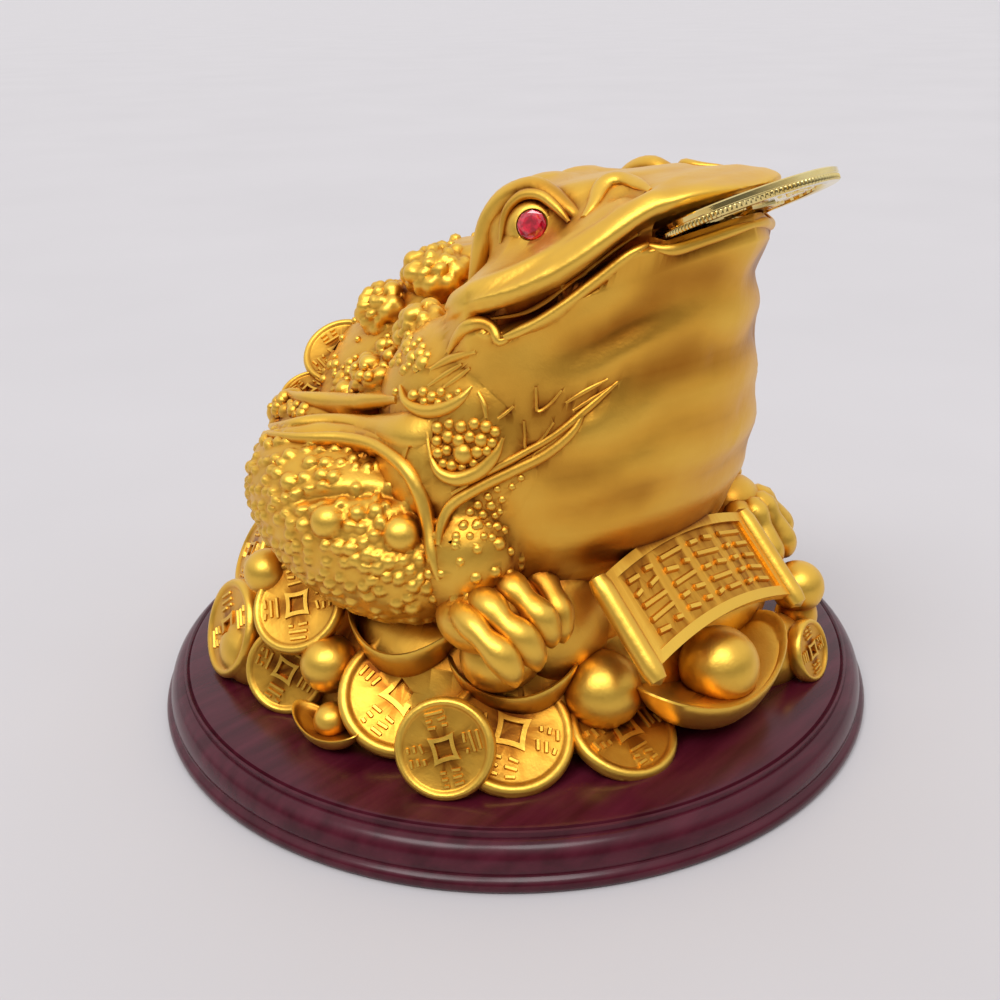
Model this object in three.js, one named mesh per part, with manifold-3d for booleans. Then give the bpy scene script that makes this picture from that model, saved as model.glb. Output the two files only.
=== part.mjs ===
// Money toad: a gilded cast toad on a heap of coins, balls and boat ingots, with a scroll in front,
// a loose coin in its mouth, two faceted eye gems, and a turned round base.
// Millimetres, +Z up. The toad looks along -Y and its right side is at -X.
// The origin is the centre of the underside of the base.
import * as THREE from "three";
import { mergeVertices } from "three/addons/utils/BufferGeometryUtils.js";
import { ParametricGeometry } from "three/addons/geometries/ParametricGeometry.js";
import Module from "manifold-3d";

const wasm = await Module();
wasm.setup();

// Driving dimensions
const figureHeight = 114.5; // casting, from its flat underside to the top of its snout
const baseThickness = 11; // floor to the flat that carries the casting
const baseMargin = 8.6; // bare flat between the casting and the rim of the flat
const baseEdge = 6.4; // width of the moulded edge, from the rim of the flat out to the foot
const clearance = 0.3; // around every loose piece
const mouthCoinDiameter = 34;
const mouthCoinThickness = 2.4;
const mouthCoinHole = 5.5; // side of the square hole
const mouthCoinRim = 2.6; // width of the raised rim
const mouthCoinFrame = 1.2; // width of the raised frame around the hole
const mouthOpening = 0.9; // free height above the coin at the lips
const gemDiameter = 5.6;
const gemDepth = 2.6;

// The casting is drawn 114.5 units tall and 70 units from its middle to its outermost coin,
// and every place and size on it is a share of its height.
const unit = figureHeight / 114.5;
const flatRadius = 70 * unit + baseMargin;
const footRadius = flatRadius + baseEdge;

// Solids

function solid(geometry) {
  const bare = new THREE.BufferGeometry();
  bare.setAttribute("position", geometry.getAttribute("position"));
  bare.setIndex(geometry.getIndex());
  const merged = mergeVertices(bare, 1e-4);
  const index = merged.getIndex().array;
  const place = merged.getAttribute("position").array;
  const a = new THREE.Vector3(), b = new THREE.Vector3(), c = new THREE.Vector3();
  const kept = [];
  let volume = 0;
  for (let i = 0; i < index.length; i += 3) {
    const [p, q, r] = index.subarray(i, i + 3);
    if (p === q || q === r || r === p) continue;
    kept.push(p, q, r);
    volume += a.fromArray(place, 3 * p).dot(b.fromArray(place, 3 * q).cross(c.fromArray(place, 3 * r)));
  }
  // a closed skin that encloses a negative volume is turned the right way out
  if (volume < 0) kept.reverse();
  return new wasm.Manifold(new wasm.Mesh({
    numProp: 3, vertProperties: new Float32Array(place), triVerts: new Uint32Array(kept),
  }));
}

function join(solids) {
  let row = [...solids];
  while (row.length > 1) {
    const next = [];
    for (let i = 0; i < row.length; i += 2) next.push(i + 1 < row.length ? row[i].add(row[i + 1]) : row[i]);
    row = next;
  }
  return row[0];
}

function toMesh(name, material, body) {
  const skin = body.getMesh();
  const geometry = new THREE.BufferGeometry();
  geometry.setAttribute("position", new THREE.BufferAttribute(new Float32Array(skin.vertProperties), 3));
  geometry.setIndex(new THREE.BufferAttribute(new Uint32Array(skin.triVerts), 1));
  geometry.computeVertexNormals();
  const mesh = new THREE.Mesh(geometry, material);
  mesh.name = name;
  return mesh;
}

// Curves through rows of numbers

function rowAt(rows, t) {
  const x = THREE.MathUtils.clamp(t, 0, 1) * (rows.length - 1);
  const i = Math.min(Math.floor(x), rows.length - 2);
  const f = x - i;
  const [a, b, c, d] = [-1, 0, 1, 2].map((k) => rows[THREE.MathUtils.clamp(i + k, 0, rows.length - 1)]);
  return b.map((bk, k) => {
    const s0 = (c[k] - a[k]) / 2, s1 = (d[k] - bk) / 2;
    return bk + f * (s0 + f * (3 * (c[k] - bk) - 2 * s0 - s1 + f * (2 * (bk - c[k]) + s0 + s1)));
  });
}

// height of a side profile, given as [along, height] pairs, above a place along it
function heightAt(profile, along) {
  let i = 0;
  while (i < profile.length - 2 && along > profile[i + 1][0]) i++;
  const [[x0, z0], [x1, z1]] = [profile[i], profile[i + 1]];
  const f = THREE.MathUtils.clamp((along - x0) / (x1 - x0), 0, 1);
  return z0 + (z1 - z0) * f;
}

// a repeatable stand-in for chance, from 0 to 1
const chance = (n) => {
  const s = Math.sin(n * 12.9898 + 4.1) * 43758.5453;
  return s - Math.floor(s);
};

// Forms, all in figure units

const sized = (geometry) => solid(geometry.scale(unit, unit, unit));

function surface(point, around, along) {
  return sized(new ParametricGeometry((u, v, target) => target.set(...point(u, v)), around, along));
}

function pebble([x, y, z], [rx, ry, rz], turn = [0, 0, 0], around = 14, along = 9) {
  const shape = new THREE.SphereGeometry(1, around, along).scale(rx, ry, rz);
  shape.applyMatrix4(new THREE.Matrix4().makeRotationFromEuler(new THREE.Euler(...turn)));
  return sized(shape.translate(x, y, z));
}

// a bead with few faces, for warts
function bead([x, y, z], radius) {
  return sized(new THREE.IcosahedronGeometry(radius, 0).translate(x, y, z));
}

// a tube whose radius follows its path: rows are [x, y, z, radius]
function ridge(rows, sides = 6, steps = 8) {
  const path = new THREE.CatmullRomCurve3(rows.map(([x, y, z]) => new THREE.Vector3(x, y, z)));
  const frames = path.computeFrenetFrames(steps);
  return surface((u, v) => {
    const k = Math.round(v * steps);
    const t = k / steps;
    const centre = path.getPoint(t);
    const radius = rowAt(rows.map((row) => [row[3]]), t)[0] * (k === 0 || k === steps ? 0 : 1);
    const angle = u * 2 * Math.PI;
    centre.addScaledVector(frames.normals[k], radius * Math.cos(angle));
    centre.addScaledVector(frames.binormals[k], radius * Math.sin(angle));
    return centre.toArray();
  }, sides, steps);
}

// a profile of [radius, height] pairs carried round the Z axis
function turned(profile, sides) {
  const points = profile.map(([radius, height]) => new THREE.Vector2(radius, height));
  return new THREE.LatheGeometry(points, sides).rotateX(Math.PI / 2);
}

// turns a shape made facing +Z so that it faces an azimuth and an elevation, then moves it
function facing(shape, [x, y, z], azimuth, elevation) {
  const lean = THREE.MathUtils.degToRad(90 - elevation);
  shape.rotateZ(Math.PI / 2).rotateY(lean).rotateZ(THREE.MathUtils.degToRad(azimuth));
  return shape.translate(x, y, z);
}

// Toad body: rings from the belly up to the plane of the mouth, then the top of the head

const widestY = -26; // the place along Y where every ring is widest
const jawSlope = 0.474; // rise of the mouth plane towards the snout
const jawHeight = 89.2; // mouth plane at the widest place
const headCentre = [0, -22];
// height, slope, half width, reach forward, reach back, fullness of the side and of the front
const bellyRings = [
  [4, 0, 20, 4, 40, 2, 2],
  [14, 0, 30, 18, 64, 2, 2],
  [24, 0.01, 35, 26, 68, 2, 2],
  [34, 0.03, 37.5, 29.5, 66, 2, 2],
  [46, 0.07, 38.5, 31.5, 60, 2, 1.95],
  [58, 0.16, 38.5, 33, 52, 1.9, 1.9],
  [70, 0.28, 38, 34, 44, 1.8, 1.7],
  [79, 0.38, 37.5, 35.5, 34, 1.7, 1.5],
  [86, 0.45, 38.4, 37.6, 22, 1.6, 1.3],
];
const ribHeights = [37, 48, 59, 69, 78];
const ribDepth = 0.9;
const headTop = [[-66, 110.5], [-60, 113.4], [-52, 114.5], [-40, 113], [-24, 111.4], [-14, 108.5], [-6, 101],
  [4, 92]];
// share of the outline, fixed height and share of the height of the head at that place
const headRings = [
  [0.95, -0.6, 0], [1.0, 1.6, 0], [1.01, 3.4, 0.02], [0.95, 5, 0.08], [0.84, 4.5, 0.17],
  [0.7, 3, 0.3], [0.6, 1.5, 0.5], [0.52, 0.5, 0.78], [0.4, 0, 0.95], [0, 0, 1],
];
const bellyShare = 0.62; // share of the rings that belong to the belly

const jawAt = (y) => jawHeight + jawSlope * (widestY - y);

function outlinePoint(angle, [, , side, front, back, sidePower, frontPower]) {
  const c = Math.cos(angle), s = Math.sin(angle);
  if (s >= 0) return [side * c, widestY + back * s];
  const x = side * Math.sign(c) * Math.abs(c) ** (2 / sidePower);
  return [x, widestY - front * Math.abs(s) ** (2 / frontPower)];
}

function trunkPoint(u, v) {
  const angle = u * 2 * Math.PI;
  if (v <= bellyShare) {
    const row = rowAt(bellyRings, v / bellyShare);
    let [x, y] = outlinePoint(angle, row);
    if (v === 0) [x, y] = [0, 0];
    const z = row[0] + row[1] * (widestY - y);
    const towardsFront = THREE.MathUtils.smoothstep(-Math.sin(angle), 0, 0.7);
    const rib = ribHeights.reduce((sum, h) => sum + Math.exp(-(((row[0] - h) / 2.2) ** 2)), 0);
    const swell = 1 - (ribDepth * rib * towardsFront) / 40;
    return [x * swell, widestY + (y - widestY) * swell, z];
  }
  const [share, fixed, part] = rowAt(headRings, (v - bellyShare) / (1 - bellyShare));
  const [x, y] = outlinePoint(angle, bellyRings[bellyRings.length - 1]);
  const px = headCentre[0] + share * (x - headCentre[0]);
  const py = headCentre[1] + share * (y - headCentre[1]);
  const towardsFront = THREE.MathUtils.smoothstep(-Math.sin(angle), 0.2, 0.9);
  const height = fixed + Math.max(part, 0) ** (1 - 0.5 * towardsFront) * (heightAt(headTop, py) - jawAt(py));
  return [px, py, jawAt(py) + height];
}

// Back: egg-shaped rings that lean towards the head
// height, place along Y, half width, half length
const backRings = [
  [2, 10, 30, 32], [12, 12, 44, 46], [24, 14, 45, 47], [36, 17, 42, 44], [48, 20, 38, 39],
  [60, 21, 32, 33], [70, 19, 26, 27], [80, 14, 19, 20], [89, 9, 13, 14], [95, 4, 7, 8],
];

function backPoint(u, v) {
  const [z, y, halfWidth, halfLength] = rowAt(backRings, v);
  const size = v === 0 || v === 1 ? 0 : 1;
  const angle = u * 2 * Math.PI;
  return [size * halfWidth * Math.cos(angle), y + size * halfLength * Math.sin(angle), z];
}

// Warts on an egg: golden-angle places, kept where the filter says so
function wartsOn([x, y, z], [rx, ry, rz], count, [least, most], keep, seed) {
  const warts = [];
  for (let i = 0; i < count; i++) {
    const up = 1 - (2 * (i + 0.5)) / count;
    const turn = i * Math.PI * (3 - Math.sqrt(5));
    const flat = Math.sqrt(1 - up * up);
    const side = [flat * Math.cos(turn), flat * Math.sin(turn), up];
    if (!keep(side)) continue;
    const radius = least + (most - least) * chance(i + seed) ** 2;
    warts.push(bead([x + rx * side[0], y + ry * side[1], z + rz * side[2]], radius));
  }
  return warts;
}

// lumps down the back: place, radius
const lumps = [
  [[-8, 9, 89], 8], [[-14, 22, 79.5], 8.5], [[-25, -1, 80], 7], [[-30, 8, 69], 8.5], [[-13, 46, 57], 9],
];

// One side of the toad, drawn for the right side and mirrored for the left
const haunch = { centre: [-43, 2, 43], radii: [19, 31, 18], turn: [0.28, 0, 0.05] };
const shoulder = { centre: [-27, -18, 62], radii: [17.5, 26, 29], turn: [0, 0, 0] };
const foreleg = { centre: [-39, -25, 40], radii: [11, 12, 14], turn: [0.3, 0, 0.5] };

function rightSide() {
  const parts = [haunch, shoulder, foreleg].map((egg) => pebble(egg.centre, egg.radii, egg.turn, 12, 7));
  // smooth band over the haunch, and its branch down the front of it
  parts.push(ridge([
    [-35, 42, 50, 0.6], [-40, 30, 55, 2.6], [-43.5, 10, 60.5, 2.8], [-45.5, -7, 65, 2.8],
    [-44.5, -20, 68.5, 3.4], [-41, -29, 70, 1],
  ], 4, 7));
  parts.push(ridge([[-45, -18, 69, 2.5], [-47.5, -20, 61, 2.2], [-50, -23, 53, 2], [-50, -27, 46, 1]], 4, 5));
  // long fold that sweeps from the foreleg up along the belly
  parts.push(ridge([[-48, -26, 50, 0.8], [-41.5, -33, 59, 1.8], [-37, -39.5, 66, 1.8], [-33, -44, 73, 1.6],
    [-27, -47.5, 78, 0.6]], 4, 6));
  // eyelids, nostril and the fold at the corner of the mouth
  parts.push(ridge([
    [-21.5, -11, 92, 1], [-20.5, -12.3, 99, 2.2], [-19.5, -16, 106.2, 2.2], [-19, -23, 110.2, 2.2],
    [-19, -31, 109.4, 2.1], [-20, -38.5, 106.4, 1],
  ], 5, 8));
  parts.push(pebble([-13.5, -23, 101], [7.5, 12, 9], [0, 0, 0], 9, 6));
  parts.push(ridge([
    [-13, -30, 108, 0.8], [-12.5, -36, 110.8, 2], [-10.5, -43, 112, 2.1], [-8, -46, 112, 1.2],
  ], 5, 5));
  parts.push(ridge([
    [-30, -24, 84, 1], [-35.5, -27, 86.5, 2], [-35.5, -33, 88, 1.6], [-33, -36, 88, 0.6],
  ], 4, 5));
  for (const [place, radius] of lumps) parts.push(pebble(place, [radius, radius, radius], [0, 0, 0], 7, 5));
  // warts of the haunch
  const { centre, radii } = haunch;
  parts.push(...wartsOn(centre, radii, 15, [3, 4.6], ([x, , z]) => x < -0.3 && z > -0.6 && z < 0.6, 3));
  return parts;
}

// a toe that leaves the hub of the paw, bends over its knuckle and drops to its tip
function toe([x, y, z], heading, drop) {
  // reach, rise, radius
  const rows = [
    [2, -3, 2.4], [8, 0, 3.9], [12, -0.4 * drop, 3.4], [13, -0.75 * drop, 3.8], [13.5, -drop, 1.4],
  ];
  const angle = THREE.MathUtils.degToRad(heading);
  return ridge(rows.map(([reach, up, radius]) => [
    x + reach * Math.cos(angle), y + reach * Math.sin(angle), z + up, radius,
  ]), 5, 5);
}

function paw(hub, heading, drop) {
  const toes = [-1.5, -0.5, 0.5, 1.5].map((i) => toe(hub, heading + 32 * i, drop - 2 * Math.abs(i)));
  return [...toes, pebble(hub, [8, 8, 7], [0, 0, 0], 7, 4)];
}

const mirrored = (body) => body.mirror([1, 0, 0]);

// Heap

// a coin with a sunk square, and with a raised rim where one is asked for
function heapCoin(place, azimuth, elevation, radius, rim = 0.14 * radius) {
  const half = 1.5, field = rim ? 0.8 : half, square = 0.36 * radius;
  const face = rim ? [[radius - rim, half], [radius - 1.2 * rim, field]] : [];
  const disc = turned([[0, -half], [radius, -half], [radius, half], ...face, [0, field]], rim ? 10 : 8);
  const hole = new THREE.BoxGeometry(square, square, half).translate(0, 0, field);
  const [body, cut] = [disc, hole].map((shape) => sized(facing(shape, place, azimuth, elevation)));
  return body.subtract(cut);
}

// a boat-shaped ingot: an oval bowl whose ends rise
function ingot([x, y, z], heading, [length, width, deep, lift]) {
  // share of the outline, share of the depth
  const rows = [[0, 0], [0.5, 0.05], [0.84, 0.45], [1, 1], [0.86, 1], [0, 0.5]];
  const turn = THREE.MathUtils.degToRad(heading);
  return surface((u, v) => {
    const [share, height] = rows[Math.round(v * (rows.length - 1))];
    const along = share * Math.cos(2 * Math.PI * u), across = share * Math.sin(2 * Math.PI * u);
    const p = (along * length) / 2, q = (across * width) / 2;
    return [
      x + p * Math.cos(turn) - q * Math.sin(turn), y + p * Math.sin(turn) + q * Math.cos(turn),
      z + deep * height + lift * along * along,
    ];
  }, 12, rows.length - 1);
}

// place, azimuth and elevation of the face, radius
const shownCoins = [
  [[-56.9, -35.7, 8.6], 222, 22, 10.2], [[-51, -16.6, 10.2], 232, 50, 13.5],
  [[-43.6, -40.8, 7.5], 240, 30, 13.2], [[-23.8, -53.5, 5], 262, 60, 12],
  [[-53.2, 13.2, 22], 196, 45, 11.5], [[-59.2, 33, 11], 165, 22, 11.5],
  [[-60.9, 11, 9], 205, 20, 10.5], [[28, -65.9, 6], 278, 20, 8],
  [[-45.6, 41.1, 23], 150, 30, 9], [[-16, 39.3, 63], 195, 50, 11], [[-32, 34, 60], 170, 40, 7],
];
// place, radius
const shownBalls = [
  [[-23, -46.4, 11], 8], [[-55.8, 1.2, 13], 6.5], [[-60.5, -3.7, 5], 3.6], [[37.4, -56.6, 15], 6],
  [[-54.5, 23.2, 27], 4.6], [[-0.2, -60.4, 13], 7.6],
];
// place of the underside, heading, length, width, depth and rise of the ends
const shownIngots = [
  [[-46.5, -10, 11.5], 98, [32, 17, 7, 6]], [[-36, -34, 8.5], 125, [25, 15, 6, 5]],
  [[0, -59, 0.2], 180, [46, 23, 7.5, 9]], [[-62, -8, 0.2], 105, [16, 8, 4, 3]],
];

// low swellings of the mound that carry the outer coins: place, radii
const swellings = [[[-52, 28, 6], [13, 11, 10]], [[-39, 36, 17], [12, 12, 11]], [[24, -57, 4], [11, 9, 9]]];

// the far side: a row of plainer coins leaning on the mound, and above it coins and balls in turn
function farHeap() {
  const start = 318, step = 34, count = 5, lowReach = 57, highReach = 49;
  const parts = [];
  for (let i = 0; i < count; i++) {
    const azimuth = start + step * (i + 0.5);
    const wobble = chance(i + 20) - 0.5;
    const [a, b] = [azimuth, azimuth + step / 2].map(THREE.MathUtils.degToRad);
    const low = [lowReach * Math.cos(a), lowReach * Math.sin(a), 9 + 2 * wobble];
    parts.push(heapCoin(low, azimuth + 20 * wobble, 32, 13.5 + wobble, 0));
    const high = [highReach * Math.cos(b), highReach * Math.sin(b)];
    if (i % 2) parts.push(pebble([...high, 15], [7, 7, 7], [0, 0, 0], 7, 5));
    else parts.push(heapCoin([...high, 21], azimuth, 50, 11.5, 0));
  }
  return parts;
}

function heap() {
  const mound = turned([[0, 0], [57, 0], [56, 8], [52, 17], [45, 25], [0, 30]], 16);
  return [
    sized(mound),
    ...shownCoins.map((coin) => heapCoin(...coin)),
    ...shownIngots.map((boat) => ingot(...boat)),
    ...shownBalls.map(([place, radius]) => pebble(place, [radius, radius, radius], [0, 0, 0], 8, 6)),
    ...swellings.map(([place, radii]) => pebble(place, radii, [0, 0, 0], 8, 5)),
    ...farHeap(),
  ];
}

// Scroll: an arched sheet between two rods, sloping down over the front ingot
const scroll = {
  top: [0, -46.5, 36.5], slope: 46.5, width: 46, length: 24.5, arch: 3, rod: 2.3, sheet: 2.2,
  sideMargin: 4.5, endMargin: 2.5, rodOverhang: 3,
};

function scrollParts() {
  const { top, slope, width, length, arch, rod, sheet, sideMargin, endMargin, rodOverhang } = scroll;
  const place = (shape) => {
    shape.rotateX(THREE.MathUtils.degToRad(90 + slope));
    return sized(shape.translate(...top));
  };
  const band = (halfWidth, low, high) => {
    const shape = new THREE.Shape();
    const steps = 6;
    const rise = (x) => arch * (1 - (2 * x / width) ** 2);
    for (let i = 0; i <= steps; i++) {
      const x = halfWidth * (2 * i / steps - 1);
      if (i) shape.lineTo(x, rise(x) + low); else shape.moveTo(x, rise(x) + low);
    }
    for (let i = steps; i >= 0; i--) {
      const x = halfWidth * (2 * i / steps - 1);
      shape.lineTo(x, rise(x) + high);
    }
    return shape.closePath();
  };
  const extrude = (outline, depth) => new THREE.ExtrudeGeometry(outline, { depth, bevelEnabled: false });
  const plate = extrude(band(width / 2, -sheet - arch, sheet / 2), length);
  // the sunk panel inside the border
  const panel = extrude(band(width / 2 - sideMargin, 0.14 * sheet, sheet), length - 2 * endMargin);
  panel.translate(0, 0, endMargin);
  const rods = [-1, 1].map((side) => {
    const bar = new THREE.CylinderGeometry(rod, rod, length + rodOverhang, 10).rotateX(Math.PI / 2);
    return place(bar.translate(side * width / 2, 0, length / 2));
  });
  return [place(plate).subtract(place(panel)), ...rods];
}

// Pieces set into the casting

const mouthTilt = 25;
const mouthCoinPlace = [0, -60.5 * unit, 108.5 * unit];
const gemPlace = [-22.6, -28.5, 105].map((x) => x * unit);
const gemFacing = [212, 18]; // azimuth and elevation

// flat about its own centre: a rim and a square frame stand above a sunk field on both faces
function mouthCoin() {
  const radius = mouthCoinDiameter / 2, half = mouthCoinThickness / 2, field = 0.65 * half;
  const inner = radius - mouthCoinRim, foot = inner - 0.4;
  const face = [[0, field], [foot, field], [inner, half], [radius, half]];
  const back = face.map(([r, z]) => [r, -z]);
  const disc = turned([...back, ...face.reverse()], 22);
  const frameSide = mouthCoinHole + 2 * mouthCoinFrame;
  const frame = new THREE.BoxGeometry(frameSide, frameSide, 1.9 * half);
  const hole = new THREE.BoxGeometry(mouthCoinHole, mouthCoinHole, 3 * half);
  return solid(disc).add(solid(frame)).subtract(solid(hole));
}

// the open mouth: the coin's own room, wider at the lips and a little higher than the coin
function mouthSlot() {
  const radius = mouthCoinDiameter / 2 + clearance, half = mouthCoinThickness / 2 + clearance;
  const roof = half + mouthOpening, flare = 2;
  const room = turned([
    [0, -half], [radius, -half], [radius + flare, 0], [radius + flare / 2, roof], [0, roof],
  ], 22);
  room.rotateX(THREE.MathUtils.degToRad(-mouthTilt)).translate(...mouthCoinPlace);
  return solid(room);
}

// an eight-sided cut stone: a pointed pavilion behind a low crown
function gem() {
  const radius = gemDiameter / 2, crown = 0.36 * gemDepth;
  const stone = turned([[0, -gemDepth], [0.55 * radius, -gemDepth], [radius, -0.25 * gemDepth], [radius, 0],
    [0.62 * radius, crown], [0, crown]], 8);
  return solid(facing(stone, gemPlace, ...gemFacing));
}

function gemSocket() {
  const radius = gemDiameter / 2 + clearance, mouth = gemDepth + 2, floor = gemDepth + clearance;
  const hole = new THREE.CylinderGeometry(radius, radius, mouth + floor, 12).rotateX(Math.PI / 2);
  return solid(facing(hole.translate(0, 0, (mouth - floor) / 2), gemPlace, ...gemFacing));
}

function castFigure() {
  const right = join(rightSide());
  let figure = join([
    surface(trunkPoint, 24, 18), surface(backPoint, 16, 8), right, mirrored(right),
    ...paw([-30, -28, 35], 246, 18), ...paw([37, -41, 31], 280, 13), ...heap(), ...scrollParts(),
  ]);
  const socket = gemSocket();
  figure = figure.subtract(mouthSlot()).subtract(socket).subtract(mirrored(socket));
  // flat underside that stands on the base
  const wide = 4 * footRadius;
  const below = new THREE.BoxGeometry(wide, wide, wide).translate(0, 0, -wide / 2);
  return figure.subtract(solid(below));
}

// Turned base, from the floor up: the foot, a groove, a quarter round, a sunk line and the flat
function base() {
  const foot = footRadius, top = baseThickness, step = 0.1 * baseEdge;
  const grooveHeight = 0.36 * top, roundRadius = foot - 2 * step, shoulderRadius = flatRadius + 2.5 * step;
  const profile = [[0, 0], [foot - step, 0], [foot, 0.06 * top], [foot - 0.4 * step, 0.24 * top],
    [foot - 2 * step, 0.3 * top]];
  const arcSteps = 3;
  for (let i = 0; i <= arcSteps; i++) {
    const angle = (i / arcSteps) * (Math.PI / 2);
    profile.push([
      shoulderRadius + (roundRadius - shoulderRadius) * Math.cos(angle),
      grooveHeight + (0.86 * top - grooveHeight) * Math.sin(angle),
    ]);
  }
  profile.push([flatRadius + 2.4 * step, 0.98 * top], [flatRadius + 0.8 * step, 0.93 * top],
    [flatRadius, top], [0, top]);
  return solid(turned(profile, 40));
}

// Materials
const gildedPaint = new THREE.MeshStandardMaterial({ color: 0xc8922e, roughness: 0.38, metalness: 0.85 });
const polishedGold = new THREE.MeshStandardMaterial({ color: 0xe6cf8a, roughness: 0.12, metalness: 1 });
const redGem = new THREE.MeshStandardMaterial({ color: 0xb01232, roughness: 0.05, metalness: 0.1 });
const lacquer = new THREE.MeshStandardMaterial({ color: 0x3c0d18, roughness: 0.15, metalness: 0 });

const moneyToad = new THREE.Group();
moneyToad.add(toMesh("wooden_base", lacquer, base()));

const casting = new THREE.Group();
casting.position.z = baseThickness;
casting.add(toMesh("toad_figure", gildedPaint, castFigure()));
const coinMesh = toMesh("mouth_coin", polishedGold, mouthCoin());
coinMesh.position.set(...mouthCoinPlace);
coinMesh.rotation.x = THREE.MathUtils.degToRad(-mouthTilt);
casting.add(coinMesh);
casting.add(toMesh("eye_gem_right", redGem, gem()));
casting.add(toMesh("eye_gem_left", redGem, mirrored(gem())));
moneyToad.add(casting);

export default moneyToad;
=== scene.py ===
import bmesh
import bpy
import numpy as np
from mathutils import Matrix, Vector
from mathutils.bvhtree import BVHTree


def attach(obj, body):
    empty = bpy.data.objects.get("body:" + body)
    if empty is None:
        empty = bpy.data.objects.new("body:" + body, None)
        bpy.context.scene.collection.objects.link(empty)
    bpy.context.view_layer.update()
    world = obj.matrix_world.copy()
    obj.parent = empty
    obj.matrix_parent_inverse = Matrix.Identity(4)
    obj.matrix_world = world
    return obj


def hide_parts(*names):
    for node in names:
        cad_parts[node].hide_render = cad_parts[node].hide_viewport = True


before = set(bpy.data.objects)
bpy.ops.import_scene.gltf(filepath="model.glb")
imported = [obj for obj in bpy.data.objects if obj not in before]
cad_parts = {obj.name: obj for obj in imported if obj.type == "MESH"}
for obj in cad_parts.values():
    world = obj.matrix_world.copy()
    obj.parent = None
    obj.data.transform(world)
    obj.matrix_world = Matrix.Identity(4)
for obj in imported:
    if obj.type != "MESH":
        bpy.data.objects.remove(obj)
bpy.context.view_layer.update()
baseHeight = 11.0


# camera, at the photograph's angle
camera = {
    "place": (-189.016, -182.530, 157.616),
    "right": (0.69532171, -0.7184015, -0.0206642),
    "down": (-0.29733165, -0.26136517, -0.91830395),
    "ahead": (0.65431003, 0.64466079, -0.39533637),
    "focalPixels": 1200.0, "imageSide": 1000.0, "sensor": 36.0,
}


def makeCamera():
    data = bpy.data.cameras.new("camera")
    data.sensor_width = camera["sensor"]
    data.lens = camera["sensor"] * camera["focalPixels"] / camera["imageSide"]
    data.clip_start, data.clip_end = 0.01, 900
    eye = bpy.data.objects.new("camera", data)
    right, down, ahead = (Vector(camera[k]) for k in ("right", "down", "ahead"))
    turn = Matrix((right, -down, -ahead)).transposed().to_4x4()
    eye.matrix_world = Matrix.Translation(Vector(camera["place"]) * 0.001) @ turn
    bpy.context.scene.collection.objects.link(eye)
    bpy.context.scene.camera = eye


# curves and closed surfaces as arrays

def alongRows(rows, t):
    # smooth curve through rows of numbers, t from 0 to 1: cubic pieces with central slopes
    rows = np.asarray(rows, float)
    x = np.clip(t, 0, 1) * (len(rows) - 1)
    i = np.minimum(x.astype(int), len(rows) - 2)
    f = (x - i)[..., None]
    a, b, c, d = (rows[np.clip(i + k, 0, len(rows) - 1)] for k in (-1, 0, 1, 2))
    s0, s1 = (c - a) / 2, (d - b) / 2
    return b + f * (s0 + f * (3 * (c - b) - 2 * s0 - s1 + f * (2 * (b - c) + s0 + s1)))


def smoothStep(x, low, high):
    t = np.clip((x - low) / (high - low), 0, 1)
    return t * t * (3 - 2 * t)


def chance(n):
    # repeatable numbers from 0 to 1: the fraction of a large sine
    s = np.sin(np.asarray(n, float) * 12.9898 + 4.1) * 43758.5453
    return s - np.floor(s)


def outward(points, faces):
    # turns every face round if the enclosed volume comes out negative
    volume = sum(
        np.einsum("ij,ij->i", points[f[:, 0]], np.cross(points[f[:, k]], points[f[:, k + 1]])).sum()
        for f in faces for k in range(1, f.shape[1] - 1)
    )
    return points, [f[:, ::-1] for f in faces] if volume < 0 else faces


def closedSurface(point, turns, rises):
    # point(turn, rise) on a grid, closed round the turn, each end drawn together to one point
    turn, rise = np.meshgrid(turns, rises)
    grid = point(turn, rise)
    n, m = len(turns), len(rises)
    points = np.concatenate([grid[:1, 0], grid[1:-1].reshape(-1, 3), grid[-1:, 0]])
    ring = lambda j: 1 + (j - 1) * n + np.arange(n)
    step = lambda r: np.roll(r, -1)
    rings = np.array([ring(j) for j in range(1, m - 1)])
    low, high = rings[:-1], rings[1:]
    quads = np.stack([low, np.roll(low, -1, 1), np.roll(high, -1, 1), high], -1).reshape(-1, 4)
    foot, top = rings[0], rings[-1]
    ends = np.concatenate([
        np.stack([np.zeros(n, int), step(foot), foot], -1),
        np.stack([np.full(n, len(points) - 1), top, step(top)], -1),
    ])
    return outward(points, [quads, ends])


def together(forms):
    # several forms in one set of points and faces, the faces' numbers shifted by the points before them
    points, quads, ends, start = [], [], [], 0
    for p, faces in forms:
        points.append(p)
        for f in faces:
            (quads if f.shape[1] == 4 else ends).append(f + start)
        start += len(p)
    return np.concatenate(points), [np.concatenate(f) for f in (quads, ends) if f]


def around(count):
    return np.arange(count) / count


def turned3(angles):
    # turn about X, then Y, then Z axes of the body, as one matrix
    (ca, sa), (cb, sb), (cc, sc) = ((np.cos(a), np.sin(a)) for a in angles)
    rx = np.array([[1, 0, 0], [0, ca, -sa], [0, sa, ca]])
    ry = np.array([[cb, 0, sb], [0, 1, 0], [-sb, 0, cb]])
    rz = np.array([[cc, -sc, 0], [sc, cc, 0], [0, 0, 1]])
    return rx @ ry @ rz


def egg(centre, radii, turn=(0, 0, 0), sides=32, rows=20):
    # ellipsoid: cosine and sine of the two angles times the three radii, turned and moved
    def point(u, v):
        a, b = 2 * np.pi * u, np.pi * (v - 0.5)
        unit = np.stack([np.cos(a) * np.cos(b), np.sin(a) * np.cos(b), np.sin(b)], -1)
        return unit * np.array(radii) @ turned3(turn).T + np.array(centre)
    return closedSurface(point, around(sides), np.linspace(0, 1, rows))


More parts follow.
